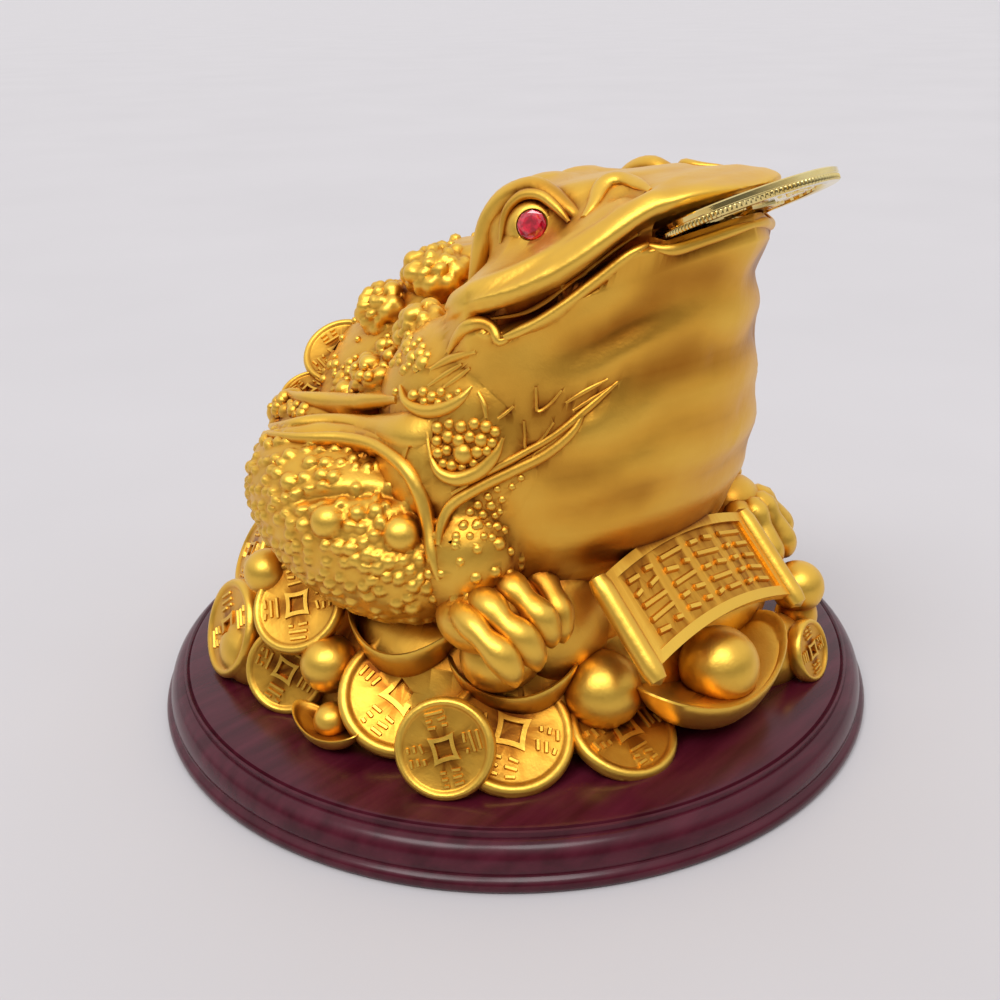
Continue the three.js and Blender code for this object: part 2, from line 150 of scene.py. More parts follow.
def framesAlong(path):
    # tangents, and two directions square to them that lean on the path's flattest direction
    tangent = np.gradient(path, axis=0)
    tangent /= np.linalg.norm(tangent, axis=1)[:, None]
    lean = np.linalg.svd(tangent, full_matrices=True)[2][2]
    side = np.cross(tangent, lean)
    side /= np.linalg.norm(side, axis=1)[:, None]
    return tangent, side, np.cross(tangent, side)


def tube(path, radii, sides=8):
    # circle of the given radius carried along the path, ends drawn to a point
    path, radii = np.asarray(path, float), np.broadcast_to(radii, len(path)).astype(float)
    tangent, side, other = framesAlong(path)
    ends = np.concatenate([path[:1] - tangent[:1] * radii[0] * 0.5,
                           path[-1:] + tangent[-1:] * radii[-1] * 0.5])
    path = np.concatenate([ends[:1], path, ends[1:]])
    radii = np.concatenate([[0], radii, [0]])
    side, other = (np.concatenate([w[:1], w, w[-1:]]) for w in (side, other))
    place = lambda table, v: table[np.rint(v * (len(table) - 1)).astype(int)]

    def point(u, v):
        a, r = 2 * np.pi * u, place(radii, v)
        return (place(path, v) + (r * np.cos(a))[..., None] * place(side, v)
                + (r * np.sin(a))[..., None] * place(other, v))
    return closedSurface(point, around(sides), np.linspace(0, 1, len(path)))


def ridge(rows, sides=10, steps=28):
    # tube through rows of x, y, z, radius
    dense = alongRows(rows, np.linspace(0, 1, steps))
    return tube(dense[:, :3], np.maximum(dense[:, 3], 0.05), sides)


def lathe(profile, sides):
    # profile of radius and height pairs carried round Z, its ends on the axis
    profile = np.asarray(profile, float)

    def point(u, v):
        r, z = profile[np.rint(v * (len(profile) - 1)).astype(int)].transpose(2, 0, 1)
        return np.stack([r * np.cos(2 * np.pi * u), r * np.sin(2 * np.pi * u), z], -1)
    return closedSurface(point, around(sides), np.linspace(0, 1, len(profile)))


def block(low, high):
    # straight-sided box between two corners
    corners = np.array([[(low, high)[i][0], (low, high)[j][1], (low, high)[k][2]]
                        for k in (0, 1) for j in (0, 1) for i in (0, 1)], float)
    faces = np.array([[0, 2, 3, 1], [4, 5, 7, 6], [0, 1, 5, 4], [2, 6, 7, 3], [0, 4, 6, 2], [1, 3, 7, 5]])
    return outward(corners, [faces])


def moved(form, matrix=None, by=(0, 0, 0)):
    points, faces = form
    return (points if matrix is None else points @ np.asarray(matrix).T) + np.array(by), faces


def mirrored(form):
    points, faces = form
    return points * (-1, 1, 1), [f[:, ::-1] for f in faces]


def facing(form, place, azimuth, elevation):
    # a form that looks along +Z is turned to look along an azimuth and elevation, then moved
    a, lean = np.radians(azimuth), np.radians(90 - elevation)
    quarter = turned3((0, 0, np.pi / 2))
    return moved(form, turned3((0, 0, a)) @ turned3((0, lean, 0)) @ quarter, place)


# meshes and Booleans

def meshOf(name, form):
    points, faces = form
    mesh = bpy.data.meshes.new(name)
    metres = (points + (0, 0, baseHeight)) * 0.001
    mesh.from_pydata(metres.tolist(), [], sum((f.tolist() for f in faces), []))
    return mesh


def objectOf(name, mesh):
    thing = bpy.data.objects.new(name, mesh)
    bpy.context.scene.collection.objects.link(thing)
    return thing


def combined(name, form, steps):
    # steps are pairs of UNION or DIFFERENCE and a list of forms, done in their order
    thing = objectOf(name, meshOf(name, form))
    helpers, groups = [], []
    for i, (operation, forms) in enumerate(steps):
        group = bpy.data.collections.new(f"{name}{i}")
        for k, other in enumerate(forms):
            helper = objectOf(f"{name}{i}_{k}", meshOf(f"{name}{i}_{k}", other))
            group.objects.link(helper)
            helpers.append(helper)
        groups.append(group)
        cut = thing.modifiers.new(operation, "BOOLEAN")
        cut.operation, cut.solver = operation, "MANIFOLD"
        cut.operand_type, cut.collection = "COLLECTION", group
    made = bpy.data.meshes.new_from_object(thing.evaluated_get(bpy.context.evaluated_depsgraph_get()))
    for helper in helpers + [thing]:
        old = helper.data
        bpy.data.objects.remove(helper)
        bpy.data.meshes.remove(old)
    for group in groups:
        bpy.data.collections.remove(group)
    return made


def pointsOf(mesh):
    flat = np.empty(len(mesh.vertices) * 3)
    mesh.vertices.foreach_get("co", flat)
    return flat.reshape(-1, 3) * 1000 - (0, 0, baseHeight)


def normalsOf(mesh):
    flat = np.empty(len(mesh.vertices) * 3)
    mesh.vertices.foreach_get("normal", flat)
    return flat.reshape(-1, 3)


def setPoints(mesh, points):
    mesh.vertices.foreach_set("co", ((points + (0, 0, baseHeight)) * 0.001).ravel())
    mesh.update()


def formOf(mesh):
    # triangles of a mesh as a form again
    mesh.calc_loop_triangles()
    flat = np.empty(len(mesh.loop_triangles) * 3, int)
    mesh.loop_triangles.foreach_get("vertices", flat)
    return pointsOf(mesh), [flat.reshape(-1, 3)]


# the toad's trunk: belly rings up to the plane of the mouth, then the top of the head
trunk = {
    "widestY": -26.0, "jawSlope": 0.474, "jawHeight": 89.2, "headCentre": (0.0, -22.0), "bellyShare": 0.62,
    # height, slope, half width, reach forward, reach back, fullness of the side and of the front
    "bellyRings": [
        [4, 0, 20, 2, 40, 2, 2], [14, 0, 30, 8, 64, 2, 2], [24, 0.01, 35, 14, 68, 2, 2],
        [34, 0.03, 37.5, 21, 66, 2, 2], [46, 0.07, 38.5, 28.5, 60, 2, 1.95],
        [58, 0.16, 38.5, 33, 52, 1.9, 1.9], [70, 0.28, 38, 34, 44, 1.8, 1.7],
        [79, 0.38, 37.5, 35.5, 34, 1.7, 1.5], [86, 0.45, 38.4, 37.6, 22, 1.6, 1.3],
    ],
    # folds round the front: height, depth, width
    "folds": [(80, 2.3, 3.5), (70.5, 2.3, 3.5), (61, 2.0, 3.4), (51.5, 1.5, 3.3), (42, 0.8, 3.4)],
    "headTop": [(-66, 106), (-62, 108.5), (-57, 113.5), (-52, 115.4), (-40, 114.2), (-24, 111.4),
                (-14, 108.5), (-6, 101), (4, 92)],
    # share of the outline, fixed height and share of the head's height there
    "headRings": [
        [0.995, -0.2, 0], [1.0, 1.6, 0], [1.01, 3.4, 0.02], [0.96, 5, 0.08], [0.84, 4.5, 0.17],
        [0.7, 3, 0.36], [0.6, 1.5, 0.6], [0.52, 0.5, 0.86], [0.4, 0, 0.97], [0, 0, 1],
    ],
    # mouth: place along Y, lower and upper edge of the groove above the plane of the mouth
    "mouth": [
        (-64, -1.2, 6.5), (-58, -1.0, 6.5), (-54, 0.5, 6.6), (-52, 1.4, 5.7), (-50, 0.4, 4.5),
        (-47.5, -1.2, 2.9), (-45, -2.6, 1.4), (-42, -4.2, 0.2), (-39, -5.3, 0.1), (-36, -5.2, 0.1),
        (-33, -5.1, 0.6), (-30, -3.5, 1.2), (-27, -1.0, 1.5), (-20, -0.6, 1.2),
    ],
    "grooveDepth": 3.0, "lowerLip": 0.6, "upperLip": 1.4,
    # ends of stretches along the rise and round the turn, with how many rows each has
    "rises": [(0.12, 4), (0.5, 34), (0.62, 20), (0.80, 34), (1, 16)], "turns": [(0.5, 18), (1, 124)],
}


def jawAt(y):
    return trunk["jawHeight"] + trunk["jawSlope"] * (trunk["widestY"] - y)


def outline(angle, row):
    # half ellipse behind, fuller or sharper power curve in front
    side, front, back, sidePower, frontPower = (row[..., k] for k in (2, 3, 4, 5, 6))
    c, s = np.cos(angle), np.sin(angle)
    x = np.where(s >= 0, side * c, side * np.sign(c) * np.abs(c) ** (2 / sidePower))
    y = trunk["widestY"] + np.where(s >= 0, back * s, -front * np.abs(s) ** (2 / frontPower))
    return x, y


def mouthRelief(y, above):
    # groove between its two edges, and a roll along each lip
    table = np.array(trunk["mouth"])
    low, high = np.interp(y, table[:, 0], table[:, 1]), np.interp(y, table[:, 0], table[:, 2])
    t = np.clip((above - low) / (high - low), 0, 1)
    groove = -trunk["grooveDepth"] * np.sin(np.pi * t)
    rolls = (trunk["lowerLip"] * np.exp(-((above - low + 0.6) / 1.2) ** 2)
             + trunk["upperLip"] * np.exp(-((above - high - 1.8) / 1.9) ** 2))
    return (groove + rolls) * smoothStep(-y, 25.5, 31)


def foldDepth(height, angle):
    # bell curves round the front at the heights of the folds, wavering with the angle
    front = -np.sin(angle)
    level = height + 1.3 * np.sin(2.3 * angle) + 0.8 * np.sin(7 * angle)
    rib = sum(d * np.exp(-((level - h) / w) ** 2) for h, d, w in trunk["folds"])
    return rib * smoothStep(front, 0.25, 0.80) * (0.75 + 0.25 * np.sin(5 * angle + height / 6))


def foldsAt(points):
    # depth of the fold at places on the belly: the ring's height is found by repeating height = z - slope
    # times reach
    rings, reach = np.array(trunk["bellyRings"], float), trunk["widestY"] - points[:, 1]
    height = points[:, 2]
    for _ in range(6):
        height = points[:, 2] - np.interp(height, rings[:, 0], rings[:, 1]) * reach
    angle = np.arctan2(-reach / 35, points[:, 0] / 38) % (2 * np.pi)
    return foldDepth(height, angle) * (height < 86) * smoothStep(reach, 4, 16)


def trunkPoint(u, v):
    angle = 2 * np.pi * u
    front = -np.sin(angle)
    belly = v <= trunk["bellyShare"]
    row = alongRows(trunk["bellyRings"], v / trunk["bellyShare"])
    x, y = outline(angle, row)
    z = row[..., 0] + row[..., 1] * (trunk["widestY"] - y)
    rib = foldDepth(row[..., 0], angle)
    share, fixed, part = np.moveaxis(
        alongRows(trunk["headRings"], (v - trunk["bellyShare"]) / (1 - trunk["bellyShare"])), -1, 0)
    hx, hy = outline(angle, np.broadcast_to(np.array(trunk["bellyRings"][-1], float), row.shape))
    cx, cy = trunk["headCentre"]
    hx, hy = cx + share * (hx - cx), cy + share * (hy - cy)
    top = np.array(trunk["headTop"])
    height = np.interp(hy, top[:, 0], top[:, 1]) - jawAt(hy)
    hz = jawAt(hy) + fixed + np.maximum(part, 0) ** (1 - 0.7 * smoothStep(front, 0.3, 0.95)) * height
    x, y, z = np.where(belly, x, hx), np.where(belly, y, hy), np.where(belly, z, hz)
    reach = np.maximum(np.hypot(x, y - trunk["widestY"]), 1)
    swell = 1 + (np.where(belly, -rib, 0) + mouthRelief(y, z - jawAt(y)) * smoothStep(reach, 15, 30)) / reach
    return np.stack([x * swell, trunk["widestY"] + (y - trunk["widestY"]) * swell, z], -1)


def trunkForm():
    # rows crowd round the mouth, turns crowd round the front and sides
    def stretches(rows):
        spans = zip([0] + [end for end, _ in rows], rows)
        return np.concatenate([np.linspace(start, end, count)[:-1] for start, (end, count) in spans])
    return closedSurface(trunkPoint, stretches(trunk["turns"]), np.append(stretches(trunk["rises"]), 1))


# the back: egg-shaped rings that lean towards the head: height, place along Y, half width, half length
back = {
    "rings": [
        [2, 10, 30, 32], [12, 12, 44, 46], [24, 14, 45, 47], [36, 17, 42, 44], [48, 20, 38, 39],
        [60, 21, 32, 33], [70, 19, 26, 27], [80, 14, 19, 20], [89, 9, 13, 14], [95, 4, 7, 8],
    ],
    # place and radii of the lumps down the back
    "lumps": [
        [(-11.5, 9, 88.6), (7.4, 7.4, 5.6)], [(-16, 21.5, 79.5), (6.4, 6.4, 5.8)],
        [(-25.4, -1, 79), (5.6, 6, 6.6)], [(-30, 8, 68), (6.4, 7, 6.4)], [(-5, 49, 54), (7, 7, 7)],
        [(-26, 22, 61), (6, 7, 5.4)], [(-6, 33, 72), (6.5, 6.5, 6)], [(-26, 42, 45), (6, 6, 6)],
        [(-6, 57, 43), (7, 7, 7)], [(-35.5, 35, 56.5), (4.6, 4.6, 4.4)],
    ],
    # each lump's bumps: how many, their sizes, share of a size that stands out, rows and columns of the skin
    "bumps": 74, "bumpSizes": (1.2, 2.4), "bumpCap": 0.78, "lumpColumns": 52, "lumpRows": 34,
    "farFineness": 0.6,
}


def backPoint(u, v):
    z, y, halfWidth, halfLength = np.moveaxis(alongRows(back["rings"], v), -1, 0)
    size = np.where((v == 0) | (v == 1), 0, 1)
    angle = 2 * np.pi * u
    return np.stack([size * halfWidth * np.cos(angle), y + size * halfLength * np.sin(angle), z], -1)


# limbs, drawn for the right side and mirrored for the left
limbs = {
    # eggs: centre, radii, turns about X, Y and Z; then tubes: x, y, z and radius along them
    "haunch": [(-43, 2, 43), (19, 31, 18), (0.28, 0, 0.05)],
    "shoulder": [(-27, -17, 61), (16.6, 25, 26), (0, 0, 0)],
    "foreleg": [(-39, -25, 40), (11, 12, 14), (0.3, 0, 0.5)],
    "bridge": [(-36, -15, 54), (12, 17, 18), (0, 0, 0)],
    "armRoot": [(-35.3, 18.7, 55.2), (8.7, 18.6, 8.7), (0.04, 0.05, 0.06)],
    "eyeDome": [(-14.3, -23.5, 100.6), (9.4, 13.5, 9.5), (0, 0, 0)],
    "crown": [(-5, -20, 105), (8, 12, 7.0), (0, 0, 0)],
    "lid": [
        [-21.6, -11.5, 90.5, 1.3], [-21, -12.9, 95.6, 2.1], [-20.8, -14.1, 99.6, 2.4],
        [-20, -15.6, 104.4, 2.5], [-19, -19.1, 108.6, 2.4], [-18, -24.7, 110.8, 2.3], [-18, -29, 109.8, 2.2],
        [-18.5, -33.4, 108.0, 1.8], [-19, -37.3, 106.4, 1.1], [-19.2, -39.6, 105.4, 0.5],
    ],
    "nostril": [[-12.6, -33, 107.6, 0.8], [-11.5, -39, 109.2, 1.7], [-10, -45, 110.2, 1.8],
                [-7.5, -51, 110.8, 1.2], [-5.5, -55, 111, 0.5]],
    # eggs that fill the right forefoot, and the smooth ground between it and the scroll
    "fistFill": [[(-39.5, -32.5, 31.5), (12, 10.8, 8)], [(-38.5, -34, 22), (9.5, 8, 8)],
                 [(-24, -37, 24), (12, 9.6, 15)], [(-12, -37, 24.5), (14, 10, 14.5)]],
    "palm": [(-39, -37, 30), 0.9, (-1.2, -0.4, 2.4)],
    # open forefoot: hub, heading, drop of the toes; a toe's reach, fall, share of the drop and radius
    "paw": [(37, -36, 31), 278, 13],
    "toe": [
        [1, -4, 0, 2.2], [4, -1, 0, 2.8], [8, 0.4, 0, 3.7], [10.6, 0, -0.22, 2.9], [12.2, 0, -0.42, 3.2],
        [13.4, 0, -0.66, 3.9], [13.9, 0, -0.86, 3.1], [13.6, 0, -1, 1.2],
    ],
    # fingers of the right forefoot from the wrist to the tip
    "fingers": [
        [[-26, -27, 33, 3], [-28.4, -33, 35, 3.3], [-28.4, -37.5, 34.6, 3.6], [-29.6, -41.2, 33.2, 2.8],
         [-30.4, -44.2, 30.2, 3.4], [-30.8, -45.6, 26.4, 2.6], [-30.8, -45.6, 23.2, 0.8]],
        [[-33, -27, 34, 3], [-36.4, -33, 36, 3.5], [-37.8, -37.5, 36, 3.9], [-37.8, -41.2, 34.4, 3.0],
         [-37.2, -44.8, 31.8, 3.8], [-36, -46.4, 27.6, 3.0], [-35.4, -46.6, 24.4, 0.8]],
        [[-39, -27, 32, 3], [-43.4, -33, 34.4, 3.4], [-44.6, -37.5, 34, 3.9], [-44.8, -41.2, 32.2, 3.0],
         [-43.4, -44.8, 29.4, 3.9], [-41.2, -46.6, 24.6, 3.1], [-40, -46.6, 20.8, 0.9]],
        [[-43, -27, 30, 2.6], [-48, -32, 32.2, 3.0], [-49.6, -36.8, 31.8, 3.4], [-50, -40.6, 30.2, 2.8],
         [-49, -44.2, 27.4, 3.7], [-47.4, -46, 23, 2.9], [-46.4, -46, 19.4, 0.8]],
    ],
}


def toe(hub, heading, drop):
    # leaves the hub, bends over its knuckle and drops to its tip
    reach, fall, share, radius = np.array(limbs["toe"], float).T
    a = np.radians(heading)
    x, y, z = hub
    path = np.stack([x + reach * np.cos(a), y + reach * np.sin(a), z + (fall + share * drop), radius], -1)
    return ridge(path, 14, 26)


def paw(hub, heading, drop):
    toes = [toe(hub, heading + 30 * i, drop - 2 * abs(i)) for i in (-1.5, -0.5, 0.5, 1.5)]
    return toes + [egg(hub, (8.5, 8.5, 7.5), sides=24, rows=16)]


def fist():
    # fingers drawn round the palm's middle, taken in a little and raised
    middle, size, raised = limbs["palm"]
    placed = lambda rows: np.concatenate([(np.array(rows)[:, :3] - middle) * size + middle + np.array(raised),
                                          np.array(rows)[:, 3:] * size], 1)
    fingers = [ridge(placed(rows), 16, 30) for rows in limbs["fingers"]]
    return fingers + [egg(*row, sides=36, rows=24) for row in limbs["fistFill"]]


def rightSide():
    return [egg(*limbs["shoulder"], sides=64, rows=46), egg(*limbs["foreleg"], sides=36, rows=26),
            egg(*limbs["bridge"], sides=48, rows=36), egg(*limbs["eyeDome"], sides=36, rows=26),
            egg(*limbs["crown"], sides=26, rows=18), egg(*limbs["armRoot"], sides=30, rows=20)]


def headRidges():
    return [ridge(limbs["lid"], 14, 34), ridge(limbs["nostril"], 12, 20)]


# heap of coins, balls and boat ingots
heap = {
    "mound": [(0, 0), (57, 0), (57, 4), (56, 8), (54.5, 12), (52, 17), (49, 21), (45, 25), (30, 28.5),
              (0, 30)],
    # place, azimuth and elevation of the face, radius
    "coins": [
        [(-56.9, -35.7, 9.0), 214, 26, 10.2], [(-51, -16.6, 10.2), 232, 50, 13.5],
        [(-43.4, -40.6, 7.9), 238, 54, 13.2], [(-23.8, -53.5, 5), 262, 62, 12],
        [(-55.2, 11.3, 23.2), 200, 42, 11], [(-59.2, 33, 11), 165, 22, 11.5],
        [(-59.4, 12.2, 8.4), 208, 24, 9.8], [(28, -65.9, 6), 278, 20, 7.2],
        [(-45.6, 41.1, 23), 150, 30, 9], [(-19.6, 35.4, 67.4), 208, 52, 9.4],
        [(-30.8, 34.6, 60.2), 200, 62, 6.8],
    ],
    "balls": [
        [(-23.6, -47.8, 12), 8.5], [(-56, 1, 13), 6.4], [(-61.6, -6, 4.4), 4.1], [(37.4, -56.6, 15.4), 6.2],
        [(-54.5, 23.2, 27), 5.4], [(-0.4, -60.8, 12.6), 8.6],
    ],
    # place of the underside, heading, length, width, depth and rise of the ends, height of the inner floor
    "ingots": [
        [(-45.5, -12, 11.5), 98, (28, 17, 8.6, 6), 0.35], [(-36, -34.5, 6.5), 127, (27, 16, 8.2, 5), 0.6],
        [(0, -59, 0.2), 180, (46, 23, 8.5, 7), 1.0], [(-63.6, -6.4, 0.2), 92, (20, 9, 3.6, 2.6), 0.8],
    ],
    "swellings": [[(-52, 28, 6), (13, 11, 10)], [(-39, 36, 17), (12, 12, 11)], [(24, -57, 4), (11, 9, 9)],
                  [(37, -57, 8), (5, 5, 6.5)], [(19, -47, 16), (15, 9, 10)]],
    # far side: coins and balls by steps round the mound
    "farStart": 318, "farStep": 34, "farCount": 5, "lowReach": 57, "highReach": 49,
}
# coin of the heap: half thickness and height of the field (mm), the rest as shares of its radius
heapCoinParts = {"half": 1.5, "field": 0.95, "hole": 0.15, "rim": 0.17, "marksAt": 0.57, "marks": (0.46, 0.4)}


def stroke(x, y, length, angle, height, width=0.55, low=0.0):
    # short raised dash, rounded on top, lying on a plane that looks along +Z
    c, s = np.cos(angle), np.sin(angle)
    t = np.array([-0.5, 0.5]) * (1 - width / length)
    path = np.stack([x + t * length * c, y + t * length * s, np.full(2, low)], -1)
    form = tube(path, width, 6)
    form[0][:, 2] = low + (form[0][:, 2] - low) * height / width
    return form


def strokeRows(x, y, turn, wide, tall, rows, height, width, seed, low):
    # rows of separate dashes, one or two to a row, their lengths and leans by chance
    c, s = np.cos(turn), np.sin(turn)
    out = []
    for k in range(rows):
        across = ((k + 0.5) / rows - 0.5) * tall
        split = 0.5 + 0.26 * (float(chance(seed + 3 * k)) - 0.5)
        whole = float(chance(seed + 5 * k + 2)) > 0.72
        spans = [(0.0, 1.0)] if whole else [(0.0, split - 0.07), (split + 0.07, 1.0)]
        for j, (a, b) in enumerate(spans):
            along = ((a + b) / 2 - 0.5) * wide
            lean = turn + 0.5 * (float(chance(seed + 3 * k + 11 * j)) - 0.5) * (0.3 if whole else 1)
            length = (b - a) * wide * (0.8 + 0.2 * float(chance(seed + 9 * k + j)))
            out.append(stroke(x + along * c - across * s, y + along * s + across * c,
                              length, lean, height, width, low))
    return out


def squareFrame(inner, outer, low, high, flare=1.18):
    # raised frame round a square hole, its corners drawn out a little
    t = np.linspace(0, 1, 7)[:-1]
    corners = np.array([(1, 1), (-1, 1), (-1, -1), (1, -1)], float)
    def loop(half, bow):
        sides = []
        for a, b in zip(corners, np.roll(corners, -1, 0)):
            p = a + (b - a) * t[:, None]
            out = (a + b) / 2
            sides.append(p * half - out * (bow * 4 * t * (1 - t))[:, None])
        return np.concatenate(sides)
    inside, outside = loop(inner, 0.06 * inner), loop(outer * flare, 0.16 * outer)
    level = lambda p, z: np.concatenate([p, np.full((len(p), 1), z)], 1)
    rings = [level(inside, low), level(outside, low), level(outside * 0.96, high), level(inside * 1.06, high)]
    n = len(inside)
    points = np.concatenate(rings)
    index = np.arange(4 * n).reshape(4, n)
    above = np.roll(index, -1, 0)
    faces = np.stack([index, np.roll(index, -1, 1), np.roll(above, -1, 1), above], -1)
    return outward(points, [faces.reshape(-1, 4)])


def coinDisc(radius, half, field, rim, sides=48):
    # thick disc with a rounded rim round a sunk field
    inner = radius - rim
    return lathe([
        (0, -half), (radius * 0.96, -half), (radius, -half * 0.4), (radius - 0.04 * rim, half * 0.45),
        (radius - 0.3 * rim, half * 0.97), (radius - 0.6 * rim, half * 1.06),
        (inner + 0.1 * rim, half * 0.98), (inner - 0.05 * rim, field + 0.1), (inner - 0.3 * rim, field),
        (inner * 0.6, field), (0, field),
    ], sides)


def heapCoin(place, azimuth, elevation, radius, turn=0.0, seed=1):
    half, field, hole = heapCoinParts["half"], heapCoinParts["field"], heapCoinParts["hole"] * radius
    wide, tall = (share * radius for share in heapCoinParts["marks"])
    disc = coinDisc(radius, half, field, heapCoinParts["rim"] * radius)
    dress = [squareFrame(hole, hole * 1.55, field - 0.4, half * 0.95)]
    for k in range(4):
        a = turn + k * np.pi / 2
        reach = heapCoinParts["marksAt"] * radius
        dress += strokeRows(reach * np.cos(a), reach * np.sin(a), a + np.pi / 2, wide, tall, 3,
                            0.55, 0.036 * radius + 0.08, seed + 5 * k, field - 0.05)
    pit = block((-hole, -hole, field - 0.4), (hole, hole, field + 2))
    spin = turned3((0, 0, turn))
    place3 = lambda f: facing(moved(f, spin), place, azimuth, elevation)
    dressPlaced = [facing(f, place, azimuth, elevation) for f in dress[1:]] + [place3(dress[0])]
    return facing(disc, place, azimuth, elevation), dressPlaced, place3(pit)


def ingot(place, heading, sizes, floor):
    # oval bowl: share of the outline and share of the depth per ring, ends lifted by the square of the length
    length, width, deep, lift = sizes
    rows = np.array([
        (0, 0), (0.3, 0), (0.5, 0.05), (0.68, 0.2), (0.84, 0.45), (0.95, 0.75), (1, 0.97), (0.985, 1.03),
        (0.93, 1.04), (0.89, 0.97), (0.85, 0.3 + 0.7 * floor), (0.72, 0.1 + 0.9 * floor), (0.4, floor),
        (0, floor),
    ])
    turn = np.radians(heading)

    def point(u, v):
        share, height = rows[np.rint(v * (len(rows) - 1)).astype(int)].transpose(2, 0, 1)
        along, across = share * np.cos(2 * np.pi * u), share * np.sin(2 * np.pi * u)
        p, q = along * length / 2, across * width / 2
        return np.stack([p * np.cos(turn) - q * np.sin(turn), p * np.sin(turn) + q * np.cos(turn),
                         deep * height + lift * along ** 2], -1) + np.array(place)
    return closedSurface(point, around(48), np.linspace(0, 1, len(rows)))


def heapForms():
    coins = [(*row, 0.35 + 0.4 * i, 10 * i) for i, row in enumerate(heap["coins"])]
    balls = list(heap["balls"])
    for i in range(heap["farCount"]):
        azimuth = heap["farStart"] + heap["farStep"] * (i + 0.5)
        wobble = float(chance(i + 20)) - 0.5
        a, b = np.radians(azimuth), np.radians(azimuth + heap["farStep"] / 2)
        low = (heap["lowReach"] * np.cos(a), heap["lowReach"] * np.sin(a), 9 + 2 * wobble)
        coins.append((low, azimuth + 20 * wobble, 32, 13.5 + wobble, 0.7 * i, 200 + 10 * i))
        high = (heap["highReach"] * np.cos(b), heap["highReach"] * np.sin(b))
        if i % 2:
            balls.append([(*high, 15), 7])
        else:
            coins.append(((*high, 21), azimuth, 50, 11.5, 0.3 * i, 300 + 10 * i))
    made = [heapCoin(*coin) for coin in coins]
    discs, dress, pits = [m[0] for m in made], [together(m[1]) for m in made], [m[2] for m in made]
    solids = [lathe(heap["mound"], 72)] + discs
    solids += [egg(place, (radius,) * 3, sides=28, rows=20) for place, radius in balls]
    solids += [ingot(*row) for row in heap["ingots"]]
    solids += [egg(place, radii, sides=30, rows=20) for place, radii in heap["swellings"]]
    return solids, dress, pits


# scroll: an arched sheet between two rods, sloping down over the front ingot
scroll = {
    "top": (-2.9, -49.5, 38), "slope": 44, "turn": -4, "width": 45.4, "length": 20.8, "arch": 2.6, "bow": 3.2,
    "rod": 2.3, "sheet": 2.2, "sideMargin": 3.4, "endMargin": 2.2, "rodOverhang": 2.7, "sunk": 0.9,
    # dashes: blocks side by side, their step and size, rows in each, height and width of a dash
    "blocks": 4, "blockStep": 9.3, "blockSize": (7.8, 14.6), "dashRows": 5, "dashHeight": 0.9,
    "dashWidth": 0.8,
}


def scrollForms():
    # sheet of even thickness: one less the square of the share across, times the arch for its height
    # and times the bow for its shift up the slope
    top, width, length, arch = scroll["top"], scroll["width"], scroll["length"], scroll["arch"]
    lean = turned3((0, 0, np.radians(scroll["turn"]))) @ turned3((np.radians(90 + scroll["slope"]), 0, 0))
    bent = lambda x: 1 - (2 * x / width) ** 2
    rise = lambda x: arch * bent(x)

    def plate(halfWidth, start, end, low, high, cross=40):
        x = np.linspace(-halfWidth, halfWidth, cross)
        section = np.concatenate([np.stack([x, rise(x) + low], -1),
                                  np.stack([x[::-1], rise(x[::-1]) + high], -1)])
        n = len(section)
        bow = scroll["bow"] * bent(section[:, :1])
        near, far = (np.concatenate([section, z - bow], 1) for z in (start, end))
        i = np.arange(n)
        walls = np.stack([i, np.roll(i, -1), np.roll(i, -1) + n, i + n], -1)
        j = np.arange(cross - 1)
        cap = np.stack([j, j + 1, n - 2 - j, n - 1 - j], -1)
        form = outward(np.concatenate([near, far]), [np.concatenate([walls, cap[:, ::-1], cap + n])])
        return moved(form, lean, top)

    sheet, side, end = scroll["sheet"], scroll["sideMargin"], scroll["endMargin"]
    solids = [plate(width / 2, 0, length, -sheet * 0.7, sheet / 2)]
    for s in (-1, 1):
        z = np.linspace(-0.5, length + scroll["rodOverhang"] - 0.8, 12)
        path = np.stack([np.full(12, s * width / 2), np.full(12, 0.3), z], -1)
        solids.append(moved(tube(path, scroll["rod"] * np.array([0.8] + [1] * 10 + [0.8]), 20), lean, top))
    level = sheet * 0.5 - scroll["sunk"]
    panel = plate(width / 2 - side, end, length - end, level, sheet + 1)
    # blocks of dashes in rows on the sunk panel
    dress = []
    for k in range(scroll["blocks"]):
        at = (k - (scroll["blocks"] - 1) / 2) * scroll["blockStep"]
        marks = together(strokeRows(at, length / 2, 0.0, *scroll["blockSize"], scroll["dashRows"],
                                    scroll["dashHeight"], scroll["dashWidth"], 40 + 9 * k, 0.0))
        x, y, z = marks[0].T
        lifted = np.stack([x, rise(x) + level + z, y - scroll["bow"] * bent(x)], -1)
        dress.append(outward(lifted, marks[1]))
    return solids, panel, [moved(d, lean, top) for d in dress]


